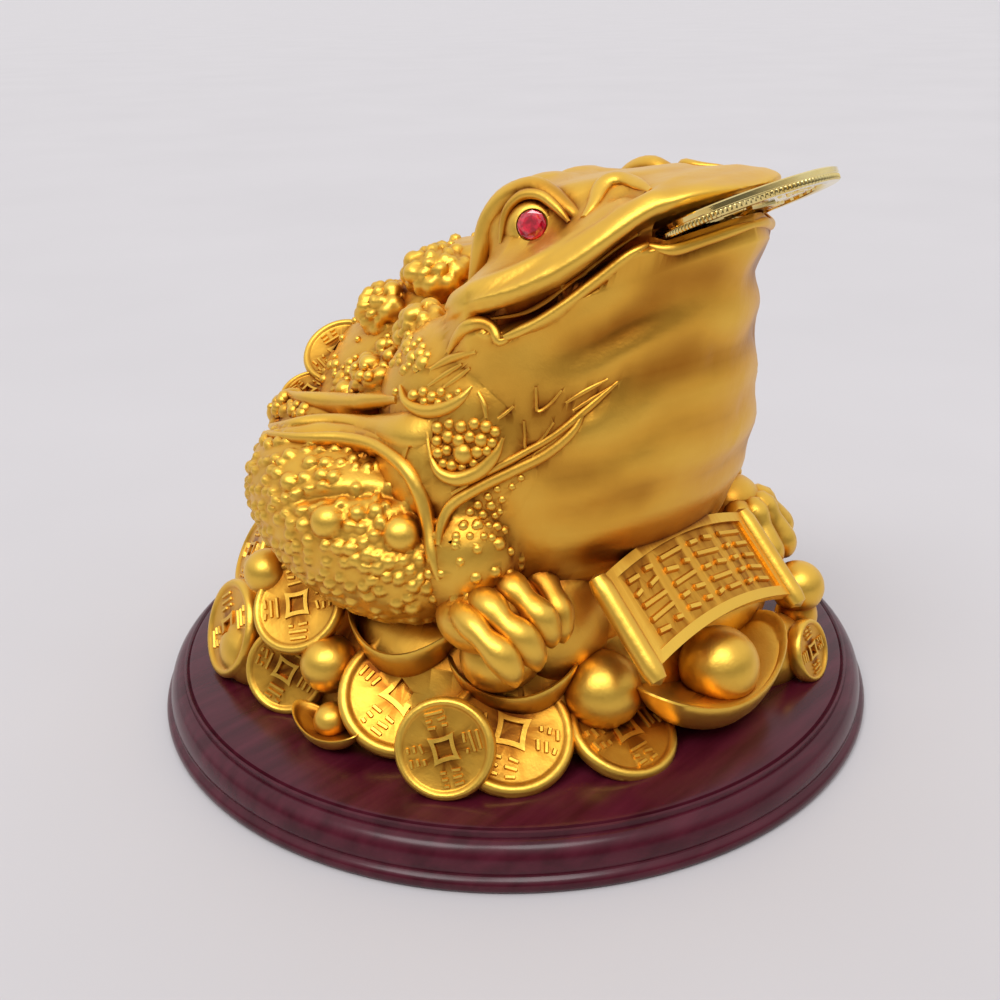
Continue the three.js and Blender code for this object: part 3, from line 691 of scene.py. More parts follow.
# relief laid on the body through the photograph's own view; pixels of the 1000 by 1000 image
relief = {
    # soft strokes: pixels, width, height (mm); a negative height presses in
    "soft": [
        [[(651, 197), (613, 226), (579, 255), (539, 283), (487, 309)], 2.2, 0.6],
        [[(602, 215), (556, 246), (516, 275), (467, 300)], 1.8, -0.6],
        [[(618, 193), (627, 190), (640, 192)], 1.7, -1.2],
        [[(600, 330), (540, 350), (500, 372), (470, 400)], 4.0, 0.5],
        [[(262, 414), (320, 418), (395, 416)], 2.0, -0.8],
        [[(440, 470), (434, 500), (432, 530)], 2.5, -0.6],
        [[(628, 372), (600, 398), (560, 432), (510, 468), (470, 490)], 1.6, -0.7],
    ],
    # paths over this many pixels bridge hollows in so many rounds, and their bands reach so deep
    "bridgeFrom": 90, "bridging": 48, "root": 2.2, "deepRoot": 8,
    # raised bands: pixels, half width and height (mm) at each point
    "bands": [
        # lower lip and the hook at the corner of the mouth
        [[(505, 338), (520, 331), (542, 319), (570, 300), (600, 277), (628, 255), (648, 244)],
         [0.7, 1.0, 1.1, 1.1, 1.1, 1.0, 0.6], [0.4, 0.8, 0.9, 0.9, 0.9, 0.8, 0.4]],
        [[(650, 245), (672, 250), (700, 242), (735, 230), (762, 222)],
         [0.6, 1.1, 1.1, 1.0, 0.5], [0.4, 0.8, 0.9, 0.8, 0.3]],
        [[(448, 352), (458, 336), (470, 325), (484, 323), (494, 330), (499, 342), (510, 338)],
         [0.6, 1.2, 1.4, 1.3, 1.1, 0.9, 0.5], [0.3, 0.9, 1.2, 1.1, 1.0, 0.8, 0.3]],
        # ring round the gem under the hood
        [[(500, 243), (506, 213), (521, 196), (540, 195), (556, 207), (569, 222)],
         [0.5, 0.9, 1.0, 1.0, 0.9, 0.4], [0.3, 0.9, 1.1, 1.1, 0.9, 0.3]],
        # curl behind the nostril
        [[(583, 217), (594, 203), (600, 190), (609, 181), (622, 179), (636, 183), (650, 190)],
         [0.7, 1.5, 1.9, 1.9, 1.7, 1.4, 0.5], [0.3, 1.0, 1.3, 1.3, 1.1, 0.8, 0.2]],
        # thin ridge in the groove of the mouth
        [[(490, 319), (520, 314), (545, 302), (575, 280), (605, 257), (638, 234)],
         [0.3, 0.45, 0.5, 0.5, 0.5, 0.3], [0.2, 0.5, 0.6, 0.6, 0.5, 0.2]],
        # smooth arm above the haunch, its lower edge sweeping down to the knee
        [[(258, 431), (300, 431), (340, 431), (380, 438), (408, 452)],
         [0.8, 2.0, 2.4, 2.6, 2.2], [0.3, 0.8, 0.9, 0.8, 0.4]],
        [[(264, 428), (300, 423), (340, 422), (378, 426), (408, 429), (434, 431)],
         [0.8, 1.7, 2.2, 2.9, 3.8, 2.4], [0.4, 1.5, 1.8, 1.7, 1.5, 0.4]],
        [[(264, 433), (300, 438), (342, 439), (378, 447), (404, 466), (420, 494), (428, 525), (431, 552),
          (438, 580)],
         [0.6, 1.1, 1.4, 1.5, 1.6, 1.6, 1.5, 1.3, 0.5], [0.4, 1.3, 1.6, 1.7, 1.7, 1.6, 1.3, 1.0, 0.3]],
        # fold under the crescent coin
        [[(281, 389), (300, 398), (330, 402), (360, 402), (396, 400)],
         [0.5, 1.6, 2.2, 2.0, 0.8], [0.4, 1.8, 2.2, 1.6, 0.4]],
        # double fold that sweeps along the belly
        [[(438, 545), (441, 525), (452, 505), (480, 487), (515, 470), (548, 453), (574, 430), (586, 406)],
         [0.6, 1.0, 1.2, 1.2, 1.2, 1.1, 0.8, 0.3], [0.4, 0.9, 1.1, 1.1, 1.1, 1.0, 0.8, 0.3]],
        [[(452, 494), (485, 474), (520, 455), (555, 435), (588, 408), (618, 382)],
         [0.4, 0.7, 0.8, 0.8, 0.8, 0.3], [0.3, 0.7, 0.8, 0.8, 0.7, 0.2]],
        [[(446, 512), (456, 500), (488, 481), (520, 463), (552, 443), (580, 418)],
         [0.3, 0.4, 0.5, 0.5, 0.5, 0.2], [0.2, 0.5, 0.5, 0.5, 0.5, 0.2]],
        # rims of the oval and the crescent windows
        [[(429, 420), (428, 440), (431, 458)], [0.4, 0.5, 0.5], [0.3, 0.5, 0.5]],
        [[(431, 458), (440, 473), (458, 479), (480, 471), (495, 455), (503, 438)],
         [0.5, 1.1, 1.5, 1.5, 1.1, 0.3], [0.4, 0.9, 1.2, 1.2, 0.9, 0.2]],
        [[(400, 386), (406, 402), (424, 411), (446, 408), (462, 398), (472, 386)],
         [0.4, 0.9, 1.4, 1.4, 1.0, 0.3], [0.3, 0.9, 1.2, 1.2, 0.9, 0.2]],
        # two small outlined triangles
        [[(536, 387), (536.5, 398), (538, 411), (550, 404), (562, 390)], [0.3, 0.4, 0.45, 0.4, 0.3],
         [0.3, 0.5, 0.6, 0.5, 0.3]],
        [[(524, 421), (525, 434), (526, 448), (541, 440), (554, 422)], [0.3, 0.4, 0.45, 0.4, 0.3],
         [0.3, 0.5, 0.6, 0.5, 0.3]],
        # strokes of hair beside the windows
        [[(428, 386), (446, 374), (462, 364)], [0.3, 0.6, 0.3], [0.2, 0.5, 0.2]],
        [[(440, 390), (456, 379), (470, 368)], [0.3, 0.6, 0.3], [0.2, 0.5, 0.2]],
        [[(430, 369), (452, 358), (476, 352)], [0.4, 0.9, 0.4], [0.2, 0.6, 0.2]],
        [[(478, 392), (484, 404), (486, 418)], [0.3, 0.6, 0.3], [0.2, 0.5, 0.2]],
        [[(498, 419), (506, 413), (514, 406)], [0.3, 0.4, 0.3], [0.2, 0.4, 0.2]],
        [[(566, 403), (586, 391), (608, 379)], [0.3, 0.5, 0.2], [0.2, 0.4, 0.2]],
        [[(573, 411), (594, 398), (614, 385)], [0.3, 0.5, 0.2], [0.2, 0.4, 0.2]],
    ],
    # warts off the haunch: pixel, radius (mm)
    "warts": [
        # oval window
        [(437, 428), 1.5], [(449, 424), 1.2], [(461, 427), 1.4], [(474, 424), 1.3], [(486, 427), 1.4],
        [(495, 432), 1.2], [(437, 441), 1.3], [(448, 437), 1.5], [(459, 441), 1.6], [(470, 437), 1.4],
        [(481, 440), 1.6], [(492, 443), 1.2], [(438, 453), 1.3], [(447, 450), 1.3], [(463, 454), 2.4],
        [(477, 452), 1.5], [(487, 451), 1.2], [(443, 464), 1.2], [(452, 466), 1.4], [(463, 468), 1.2],
        [(474, 464), 1.2],
        # crescent window
        [(413, 396), 1.5], [(423, 392), 1.2], [(432, 397), 1.3], [(441, 392), 1.1], [(449, 398), 1.0],
        [(458, 392), 0.9], [(424, 402), 1.1], [(438, 403), 1.0],
        # scales beside the fold
        [(488, 497), 1.0], [(478, 505), 1.1], [(491, 506), 1.2], [(502, 500), 0.9], [(483, 515), 1.1],
        [(495, 516), 0.9], [(470, 512), 1.0], [(464, 524), 1.0], [(476, 526), 1.0], [(489, 525), 0.9],
        [(500, 512), 0.8], [(470, 536), 0.9], [(484, 536), 0.9], [(456, 536), 1.0], [(521, 478), 0.8],
        [(512, 487), 0.8], [(497, 489), 0.9],
        # dusky hollow above the arm
        [(368, 376), 1.3], [(341, 404), 1.1], [(371, 400), 1.2], [(395, 392), 1.0], [(352, 393), 1.0],
        [(384, 404), 1.0],
    ],
}


def raysThrough(pixels):
    # directions from the camera: ahead times the focal length plus the pixel's offsets across and down
    right, down, ahead = (np.array(camera[k]) for k in ("right", "down", "ahead"))
    pixels = np.asarray(pixels, float) - camera["imageSide"] / 2
    rays = ahead * camera["focalPixels"] + pixels[:, :1] * right + pixels[:, 1:] * down
    return rays / np.linalg.norm(rays, axis=1)[:, None]


def alongRays(rays, reach):
    return np.array(camera["place"]) - (0, 0, baseHeight) + rays * reach[:, None]


def bodyHits(tree, pixels):
    # rays that meet the body, how far they reach, and the normals there
    eye = Vector(camera["place"]) * 0.001
    rays = raysThrough(pixels)
    found = [(k, *tree.ray_cast(eye, Vector(ray))) for k, ray in enumerate(rays)]
    met = [row for row in found if row[1] is not None]
    index, _, normals, _, reach = zip(*met)
    return rays[list(index)], np.array(reach) * 1000, np.array(normals)


def placesOn(tree, pixels):
    rays, reach, normals = bodyHits(tree, pixels)
    return alongRays(rays, reach), normals


def treeOf(mesh):
    mesh.calc_loop_triangles()
    return BVHTree.FromPolygons([v.co for v in mesh.vertices], [t.vertices for t in mesh.loop_triangles])


def laidPath(tree, pixels, count, bridging=0):
    # smooth pixel path laid on the body: reaches are shortened over hollows, then evened out
    rays, reach, normals = bodyHits(tree, alongRows(pixels, np.linspace(0, 1, count)))
    for _ in range(bridging):
        reach[1:-1] = np.minimum(reach[1:-1], (reach[:-2] + reach[2:]) / 2)
    for _ in range(3 + bridging // 8):
        reach[1:-1] = reach[1:-1] * 0.5 + (reach[:-2] + reach[2:]) * 0.25
        normals[1:-1] = normals[1:-1] * 0.5 + (normals[:-2] + normals[2:]) * 0.25
    return alongRays(rays, reach), normals / np.linalg.norm(normals, axis=1)[:, None]


def band(places, normals, wide, high, root, sides=10):
    # oval section carried along the path: half width across it, height above the surface and root below it
    tangent = np.gradient(places, axis=0)
    side = np.cross(tangent, normals)
    side /= np.linalg.norm(side, axis=1)[:, None]
    up = np.cross(side, tangent)
    up /= np.linalg.norm(up, axis=1)[:, None]
    last = len(places) - 1

    def point(u, v):
        i = np.clip(np.rint(v * (last + 2)).astype(int) - 1, 0, last)
        closed = np.where((v == 0) | (v == 1), 0.0, 1.0)
        a = 2 * np.pi * u
        across = closed * wide[i] * np.cos(a)
        below = np.maximum(root * high[i] / high.max(), high[i])
        lift = closed * np.where(np.sin(a) > 0, high[i], below) * np.sin(a)
        return places[i] + across[..., None] * side[i] + lift[..., None] * up[i]
    return closedSurface(point, around(sides), np.linspace(0, 1, last + 3))


def laidBands(tree):
    forms = []
    for pixels, wide, high in relief["bands"]:
        length = np.linalg.norm(np.diff(np.array(pixels, float), axis=0), axis=1).sum()
        bridged = length > relief["bridgeFrom"]
        places, normals = laidPath(tree, pixels, int(np.clip(length / 4, 8, 60)),
                                   relief["bridging"] * bridged)
        t = np.linspace(0, 1, len(places))
        wide, high = (np.maximum(alongRows(np.array(w)[:, None], t)[:, 0], 0.08) for w in (wide, high))
        # long and broad bands reach down through the hollows that they bridge
        root = bridged * relief["deepRoot" if wide.max() > 1.5 else "root"]
        forms.append(band(places, normals, wide, high, root, 12 if wide.max() > 1 else 8))
    return forms


def nearest(points, line):
    # square of the distance from each point to the nearest place of the line or of its mirror image
    near = np.full(len(points), np.inf)
    for place in np.concatenate([line, line * (-1, 1, 1)]):
        near = np.minimum(near, ((points - place) ** 2).sum(1))
    return near


def pressed(points, normals, tree):
    # moves points along their normals: height times the bell curve of the distance to the path
    moveBy = np.zeros(len(points))
    for pixels, width, height in relief["soft"]:
        moveBy += height * np.exp(-nearest(points, laidPath(tree, pixels, 26)[0]) / width ** 2)
    return points + normals * moveBy[:, None]


def beads(places, radii, sides=8, rows=6):
    # one small ball at each place, all worked out together
    unit, faces = egg((0, 0, 0), (1, 1, 1), sides=sides, rows=rows)
    places, radii = np.asarray(places, float), np.asarray(radii, float)
    points = (places[:, None] + unit[None] * radii[:, None, None]).reshape(-1, 3)
    shift = (np.arange(len(places)) * len(unit))[:, None, None]
    return points, [(f[None] + shift).reshape(-1, f.shape[1]) for f in faces]


def spread(count, least, most, keep, seed):
    # golden-angle places over a ball of radius 1, shifted by chance, kept where the filter says so
    i = np.arange(count)
    up = 1 - 2 * (i + 0.5) / count
    a = i * np.pi * (3 - np.sqrt(5))
    flat = np.sqrt(1 - up ** 2)
    unit = np.stack([flat * np.cos(a), flat * np.sin(a), up], -1)
    shift = np.stack([chance(i * 3 + seed + k) for k in (0, 1, 2)], -1) - 0.5
    unit += shift * 2.6 / np.sqrt(count)
    unit /= np.linalg.norm(unit, axis=1)[:, None]
    size = least + (most - least) * chance(i + seed) ** 2
    chosen = keep(unit)
    return unit[chosen], size[chosen]


# haunch: an egg whose skin rises over every wart
haunch = {
    "columns": 158, "rows": 100, "farColumns": 14, "farFineness": 0.6,
    "spreadCount": 900, "spreadSizes": (1.15, 1.75), "spacing": 0.76, "cap": 0.72,
    # circles kept clear of spread warts: pixel and radius in pixels; then a pixel's breadth there (mm)
    "clear": [[(352, 476), 8], [(368, 481), 9], [(385, 487), 7]], "pixelSize": 0.205,
    "crease": [(300, 498), (322, 496), (345, 494), (368, 492), (392, 496)], "creaseWidth": 1.5,
    "creaseDepth": 1.3,
    # pixel and radius in pixels
    "warts": [
        [(326, 521), 17], [(402, 533), 18], [(288, 481), 9.5], [(289, 454), 7.5], [(310, 462), 8],
        [(340, 501), 7], [(321, 503), 6], [(357, 513), 8], [(376, 510), 8], [(349, 525), 6],
        [(361, 527), 5.5], [(381, 522), 7], [(374, 535), 5.5], [(363, 543), 5.5], [(386, 504), 5.5],
        [(390, 486), 6], [(400, 477), 5.5], [(410, 502), 8.5], [(388, 463), 4.8], [(377, 465), 5.2],
        [(365, 453), 5.6], [(349, 449), 5.2], [(335, 448), 5.2], [(320, 450), 5.2], [(306, 450), 4.6],
        [(325, 462), 6.5], [(303, 477), 6], [(321, 474), 7], [(322, 486), 6.5], [(307, 490), 5.5],
        [(271, 470), 6.5], [(275, 458), 6], [(262, 462), 5.5], [(265, 480), 6], [(258, 490), 5.5],
        [(272, 492), 6], [(285, 498), 6], [(255, 470), 5.5], [(250, 480), 5], [(341, 462), 5],
        [(356, 466), 4.5], [(300, 510), 6], [(285, 514), 6], [(271, 508), 5.5],
    ],
}


def onEgg(pixels, centre, radii, turn):
    # rays from the camera in the egg's own unit space, where the egg is a ball: nearer root of the square law
    unturned = lambda v: v @ turned3(turn) / np.array(radii)
    start = unturned(np.array(camera["place"]) - (0, 0, baseHeight) - np.array(centre))
    ray = unturned(raysThrough(pixels))
    a, b, c = (ray ** 2).sum(1), (ray * start).sum(1), (start ** 2).sum() - 1
    root = b * b - a * c
    unit = start + ray * ((-b - np.sqrt(np.maximum(root, 0))) / a)[:, None]
    return unit[root > 0], root > 0


def bumpySkin(centre, radii, turn, turns, rises, lifted):
    # egg moved out along its normals by what lifted says for its places
    def point(u, v):
        a, b = 2 * np.pi * u, np.pi * (v - 0.5)
        unit = np.stack([np.cos(a) * np.cos(b), np.sin(a) * np.cos(b), np.sin(b)], -1)
        flat, out = unit.reshape(-1, 3) * radii, unit.reshape(-1, 3) / radii
        out /= np.linalg.norm(out, axis=1)[:, None]
        made = (flat + out * lifted(flat)[:, None]) @ turned3(turn).T + np.array(centre)
        return made.reshape(unit.shape)
    return closedSurface(point, turns, rises)


def haunchForm(fineness):
    centre, radii, turn = limbs["haunch"]
    radii = np.array(radii)
    laid, seen = onEgg([w[0] for w in haunch["warts"]], centre, radii, turn)
    laidSize = np.array([w[1] for w in haunch["warts"]])[seen] * haunch["pixelSize"]
    more, moreSize = spread(haunch["spreadCount"], *haunch["spreadSizes"],
                            lambda n: (n[:, 0] < 0.15) & (n[:, 2] > -0.95), 3)
    clear = onEgg([w[0] for w in haunch["clear"]], centre, radii, turn)[0]
    held = np.concatenate([laid, clear])
    heldSize = np.concatenate([laidSize, np.array([w[1] for w in haunch["clear"]]) * haunch["pixelSize"]])
    gap = np.linalg.norm((more[:, None] - held[None]) * radii, axis=2) - heldSize[None]
    gap -= moreSize[:, None] * 0.6
    more, moreSize = more[gap.min(1) > 0], moreSize[gap.min(1) > 0]
    # of two that touch, the one further down the list goes
    distance = np.linalg.norm((more[:, None] - more[None]) * radii, axis=2)
    apart = distance > haunch["spacing"] * (moreSize[:, None] + moreSize[None])
    free = np.all(apart | ~np.tri(len(more), k=-1, dtype=bool), axis=1)
    more, moreSize = more[free], moreSize[free]
    centres, sizes = np.concatenate([laid, more]) * radii, np.concatenate([laidSize, moreSize])
    crease = onEgg(alongRows(haunch["crease"], np.linspace(0, 1, 24)), centre, radii, turn)[0] * radii

    def lifted(flat):
        # rounded cap over each wart, a low ring round it on the underside, the highest of all wins
        lift = np.zeros(len(flat))
        for first in range(0, len(centres), 60):
            part, size = centres[first:first + 60], sizes[first:first + 60]
            t = np.linalg.norm(flat[:, None] - part[None], axis=2) / size
            low = smoothStep(-part[:, 2] / radii[2], 0.25, 0.6)
            cap = np.maximum(1 - t ** 2, 0) ** 0.55 * haunch["cap"]
            ring = 0.36 * np.exp(-((t - 0.72) / 0.24) ** 2) + 0.34 * np.exp(-(t / 0.34) ** 2)
            lift = np.maximum(lift, ((cap * (1 - low) + ring * low) * size).max(1))
        near = np.min(((flat[:, None] - crease[None]) ** 2).sum(2), axis=1)
        return lift - haunch["creaseDepth"] * np.exp(-near / haunch["creaseWidth"] ** 2)
    # the egg's outer side has most of the columns
    turns = np.concatenate([np.linspace(0.25, 0.90, int(haunch["columns"] * fineness)),
                            np.linspace(0.90, 1.25, int(haunch["farColumns"] * fineness))[1:-1]]) % 1
    return bumpySkin(centre, radii, turn, turns, np.linspace(0, 1, int(haunch["rows"] * fineness)), lifted)


def lumpForm(place, radii, seed, fineness=1.0):
    # the highest of many rounded caps spread over the egg
    radii = np.array(radii, float)
    spots, sizes = spread(back["bumps"], *back["bumpSizes"], lambda n: n[:, 2] > -0.8, seed)

    def lifted(flat):
        t = np.linalg.norm(flat[:, None] - (spots * radii)[None], axis=2) / sizes
        return (np.maximum(1 - t ** 2, 0) ** 0.65 * sizes).max(1) * back["bumpCap"]
    columns, rows = (int(back[k] * fineness) for k in ("lumpColumns", "lumpRows"))
    return bumpySkin(place, radii, (0, 0, 0), around(columns), np.linspace(0, 1, rows), lifted)


warts = {
    "backCount": 260, "backSizes": (0.9, 2.2), "kneeCount": 130, "kneeSizes": (1.0, 1.6),
    # share of its radius that a ball's centre lies under the skin
    "kneeSink": 0.45, "laidSink": 0.3,
    # patches of warts: middle and half size in pixels, how many, sizes (mm)
    "patches": [[(404, 352), (26, 20), 26, (1.1, 2.4)], [(340, 371), (30, 9), 16, (0.9, 1.8)],
                [(288, 407), (18, 12), 18, (1.2, 2.2)]],
}


def sunkBeads(centre, radii, turn, count, sizes, keep, sink, seed):
    # balls over an egg, each centre a share of its radius under the skin
    unit, size = spread(count, *sizes, keep, seed)
    inner = unit * (np.array(radii) - (size * sink)[:, None])
    return beads(inner @ turned3(turn).T + np.array(centre), size)


def wartForms(tree):
    laid, normals = placesOn(tree, [w[0] for w in relief["warts"]])
    sizes = np.array([w[1] for w in relief["warts"]])
    out = [beads(laid - normals * (sizes * warts["laidSink"])[:, None], sizes, 10, 7)]
    for k, (middle, half, count, span) in enumerate(warts["patches"]):
        i = np.arange(count)
        turn, reach = i * np.pi * (3 - np.sqrt(5)), np.sqrt((i + 0.5) / count)
        pixels = np.array(middle) + np.stack([np.cos(turn), np.sin(turn)], -1) * reach[:, None] * half
        pixels += (np.stack([chance(i + 7 * k), chance(i + 7 * k + 0.5)], -1) - 0.5) * 5
        places, normals = placesOn(tree, pixels)
        sizes = span[0] + (span[1] - span[0]) * chance(np.arange(len(places)) + 31 * k) ** 2
        out.append(beads(places - normals * (sizes * warts["kneeSink"])[:, None], sizes))
    out.append(sunkBeads(*limbs["foreleg"], warts["kneeCount"], warts["kneeSizes"],
                         lambda n: (n[:, 0] < 0.35) & (n[:, 1] < 0.75), warts["kneeSink"], 5))
    return out


def backWarts():
    count = warts["backCount"]
    i = np.arange(count)
    v = 0.3 + 0.68 * (i + 0.5) / count
    u = (i * 0.381966 + 0.02 * chance(i)) % 1
    keep = (u > 0.02) & (u < 0.48)
    places = backPoint(u[keep], v[keep])
    least, most = warts["backSizes"]
    sizes = least + (most - least) * chance(i[keep] + 90) ** 3
    return beads(places, sizes, 6, 5)


# coin in the mouth and gems
mouthCoin = {
    "diameter": 34, "thickness": 2.4, "hole": 5.5, "rim": 2.6, "tilt": 25, "place": (0, -60.5, 108.5),
    "opening": 0.9, "clearance": 0.3, "notches": 128,
    # dashes: reach of the four blocks and their size, then the ring's reach and count
    "marksAt": 9.4, "marks": (7.0, 6.0), "ringAt": 13.2, "ringCount": 36,
}
gem = {
    "diameter": 5.6, "depth": 2.6, "place": (-22.6, -28.5, 105), "azimuth": 212, "elevation": 18,
    "clearance": 0.3, "crown": 0.36, "sides": 8,
    # collar: how far it stands out from the socket, and its height
    "collar": [(4.4, -5), (3.2, -3.6), (1.8, -1.9), (0.5, -0.6)],
}


def mouthSlot():
    radius = mouthCoin["diameter"] / 2 + mouthCoin["clearance"]
    half = mouthCoin["thickness"] / 2 + mouthCoin["clearance"]
    roof = half + mouthCoin["opening"]
    room = lathe([(0, -half), (radius, -half), (radius + 2, 0), (radius + 1, roof), (0, roof)], 72)
    return moved(room, turned3((np.radians(-mouthCoin["tilt"]), 0, 0)), mouthCoin["place"])


def gemSocket():
    radius, floor = gem["diameter"] / 2 + gem["clearance"], gem["depth"] + gem["clearance"]
    mouth = gem["depth"] + 2
    hole = lathe([(0, -floor), (radius, -floor), (radius, mouth), (0, mouth)], 40)
    return facing(hole, gem["place"], gem["azimuth"], gem["elevation"])


def gemCollar():
    radius, collar = gem["diameter"] / 2 + gem["clearance"], gem["collar"]
    ring = lathe([(0, collar[0][1])] + [(radius + out, z) for out, z in collar] + [(0, collar[-1][1])], 48)
    return facing(ring, gem["place"], gem["azimuth"], gem["elevation"])


def coinPiece():
    # disc with a milled edge: the radius falls by a shallow cosine round the turn
    radius, half = mouthCoin["diameter"] / 2, mouthCoin["thickness"] / 2
    rim, field = mouthCoin["rim"], 0.62 * half
    inner = radius - rim
    face = [(0, field), (inner * 0.5, field), (inner - 0.5, field), (inner - 0.1, half * 0.93),
            (inner + 0.2, half), (radius - 0.35, half)]
    edge = [(radius, 0.3 - half), (radius, -0.25), (radius - 0.12, -0.15), (radius - 0.12, 0),
            (radius - 0.02, 0.12), (radius, half - 0.25)]
    profile = np.array([(r, -z) for r, z in face] + edge + face[::-1])
    notches = mouthCoin["notches"]

    def point(u, v):
        r, z = profile[np.rint(v * (len(profile) - 1)).astype(int)].transpose(2, 0, 1)
        a = 2 * np.pi * u
        r = r - ((r > radius - 0.01) & (z < 0)) * 0.14 * (1 - np.cos(notches * a))
        return np.stack([r * np.cos(a), r * np.sin(a), z], -1)
    disc = closedSurface(point, around(notches * 4), np.linspace(0, 1, len(profile)))
    hole, reach, ringReach = mouthCoin["hole"] / 2, mouthCoin["marksAt"], mouthCoin["ringAt"]
    adds = []
    for side in (1, -1):
        marks = [squareFrame(hole, hole + 1.1, field - 0.3, half * 0.98, 1.0)]
        for k in range(4):
            a = k * np.pi / 2 + 0.2 * side
            marks += strokeRows(reach * np.cos(a), reach * np.sin(a), a + np.pi / 2, *mouthCoin["marks"], 3,
                                0.42, 0.5, 70 + 9 * k, field - 0.05)
        for k in range(mouthCoin["ringCount"]):
            a = 2 * np.pi * (k + 0.5) / mouthCoin["ringCount"]
            marks.append(stroke(ringReach * np.cos(a), ringReach * np.sin(a), 1.1, a, 0.35, 0.3,
                                field - 0.05))
        form = together(marks)
        adds.append(form if side > 0 else moved(form, turned3((np.pi, 0, 0))))
    tilt = turned3((np.radians(-mouthCoin["tilt"]), 0, 0))
    place = lambda f: moved(f, tilt, mouthCoin["place"])
    cut = block((-hole, -hole, -3), (hole, hole, 3))
    steps = [("UNION", [place(a) for a in adds]), ("DIFFERENCE", [place(cut)])]
    return combined("mouth_coin_fine", place(disc), steps)


def gemForm():
    # cut stone: rows of radius share, height and half steps round the turn, from the point to the table
    radius, deep, crown, sides = gem["diameter"] / 2, gem["depth"], gem["crown"] * gem["depth"], gem["sides"]
    rows = [(0, -deep, 0), (0.3, -deep, 0.5), (0.98, -0.28 * deep, 0), (1, -0.1 * deep, 0.5),
            (0.98, 0.05 * deep, 0), (0.8, 0.6 * crown, 0.5), (0.58, crown, 0), (0, crown, 0)]
    rows = np.array(rows)

    def point(u, v):
        r, z, half = rows[np.rint(v * (len(rows) - 1)).astype(int)].transpose(2, 0, 1)
        a = 2 * np.pi * (u + half / sides)
        return np.stack([radius * r * np.cos(a), radius * r * np.sin(a), z], -1)
    return facing(closedSurface(point, around(sides), np.linspace(0, 1, len(rows))),
                  gem["place"], gem["azimuth"], gem["elevation"])


# base: radius and height of the moulded profile, from the floor up
base = {"foot": 85.0, "flat": 78.6, "height": 11.0, "sides": 256}


def baseForm():
    # quarter round between a groove and a sunk line, turned about Z
    foot, flat, top = base["foot"], base["flat"], base["height"]
    step = (foot - flat) / 10
    grooveHeight, roundRadius, shoulder = 0.36 * top, foot - 2 * step, flat + 2.5 * step
    angle = np.linspace(0, np.pi / 2, 12)
    arc = np.stack([shoulder + (roundRadius - shoulder) * np.cos(angle),
                    grooveHeight + (0.86 * top - grooveHeight) * np.sin(angle)], -1)
    foot3 = [(0, 0), (foot - step - 0.2, 0), (foot - 0.3, 0.03 * top), (foot, 0.09 * top), (foot, 0.16 * top),
             (foot - 0.3 * step, 0.22 * top), (foot - 1.2 * step, 0.27 * top), (foot - 2 * step, 0.3 * top),
             (foot - 2.2 * step, 0.33 * top)]
    head = [(flat + 2.4 * step, 0.9 * top), (flat + 2.3 * step, 0.97 * top), (flat + 1.6 * step, 0.985 * top),
            (flat + 0.9 * step, 0.95 * top), (flat + 0.6 * step, 0.93 * top), (flat + 0.2 * step, 0.98 * top),
            (flat - 0.6, top), (flat - 20, top), (0, top)]
    return lathe(np.concatenate([foot3, arc, head]), base["sides"])


# finishing a mesh: soft shading, and how deep each point lies as an attribute, for painted shade and painted
# highlight in the paint's colour

def shadeBy(mesh, degrees):
    mesh.shade_smooth()
    mesh.set_sharp_from_angle(angle=np.radians(degrees))


def edgesOf(mesh):
    flat = np.empty(len(mesh.edges) * 2, int)
    mesh.edges.foreach_get("vertices", flat)
    return flat.reshape(-1, 2)


def neighbourMean(values, edges, count):
    # mean of each point's neighbours, summed over the edges both ways
    total = np.zeros((count,) + values.shape[1:])
    degree = np.bincount(edges.ravel(), minlength=count)
    for a, b in ((0, 1), (1, 0)):
        np.add.at(total, edges[:, a], values[edges[:, b]])
    return total / np.maximum(degree, 1).reshape((-1,) + (1,) * (values.ndim - 1))


def largestPart(mesh):
    # labels spread over the edges, the lowest wins, until they settle; points without the commonest label go
    edges, label = edgesOf(mesh), np.arange(len(mesh.vertices))
    settled = False
    while not settled:
        lower = label.copy()
        for a, b in ((0, 1), (1, 0)):
            np.minimum.at(lower, edges[:, a], label[edges[:, b]])
        lower = lower[lower]
        settled = (lower == label).all()
        label = lower
    whole = bmesh.new()
    whole.from_mesh(mesh)
    whole.verts.ensure_lookup_table()
    loose = np.flatnonzero(label != np.bincount(label).argmax())
    bmesh.ops.delete(whole, geom=[whole.verts[i] for i in loose], context="VERTS")
    whole.to_mesh(mesh)
    whole.free()
    return mesh


soft = {"passes": 14, "rate": 0.6, "spread": 4, "hollow": 0.10, "mouthBand": 9.0, "mouthStart": -24.0}


def ownLength(points, edges):
    # mean length of the edges at each point
    length = np.linalg.norm(points[edges[:, 0]] - points[edges[:, 1]], axis=1)
    count = np.bincount(edges.ravel(), minlength=len(points))
    return np.bincount(edges.ravel(), np.repeat(length, 2), len(points)) / np.maximum(count, 1)


def softened(mesh):
    # hollow edges between joined forms are rounded by repeated averaging, the mouth is left crisp
    points, normals, edges = pointsOf(mesh), normalsOf(mesh), edgesOf(mesh)
    count = len(points)
    mean = neighbourMean(points, edges, count)
    own = ownLength(points, edges)
    weight = (((mean - points) * normals).sum(1) > soft["hollow"] * own).astype(float)
    mouth = np.abs(points[:, 2] - jawAt(points[:, 1])) < soft["mouthBand"]
    mouth &= points[:, 1] < soft["mouthStart"]
    for _ in range(soft["spread"]):
        weight = np.clip(np.maximum(weight, 1.5 * neighbourMean(weight, edges, count)), 0, 1)
    weight = np.where(mouth, 0, weight)[:, None]
    for _ in range(soft["passes"]):
        points = points + soft["rate"] * weight * (neighbourMean(points, edges, count) - points)
    return points


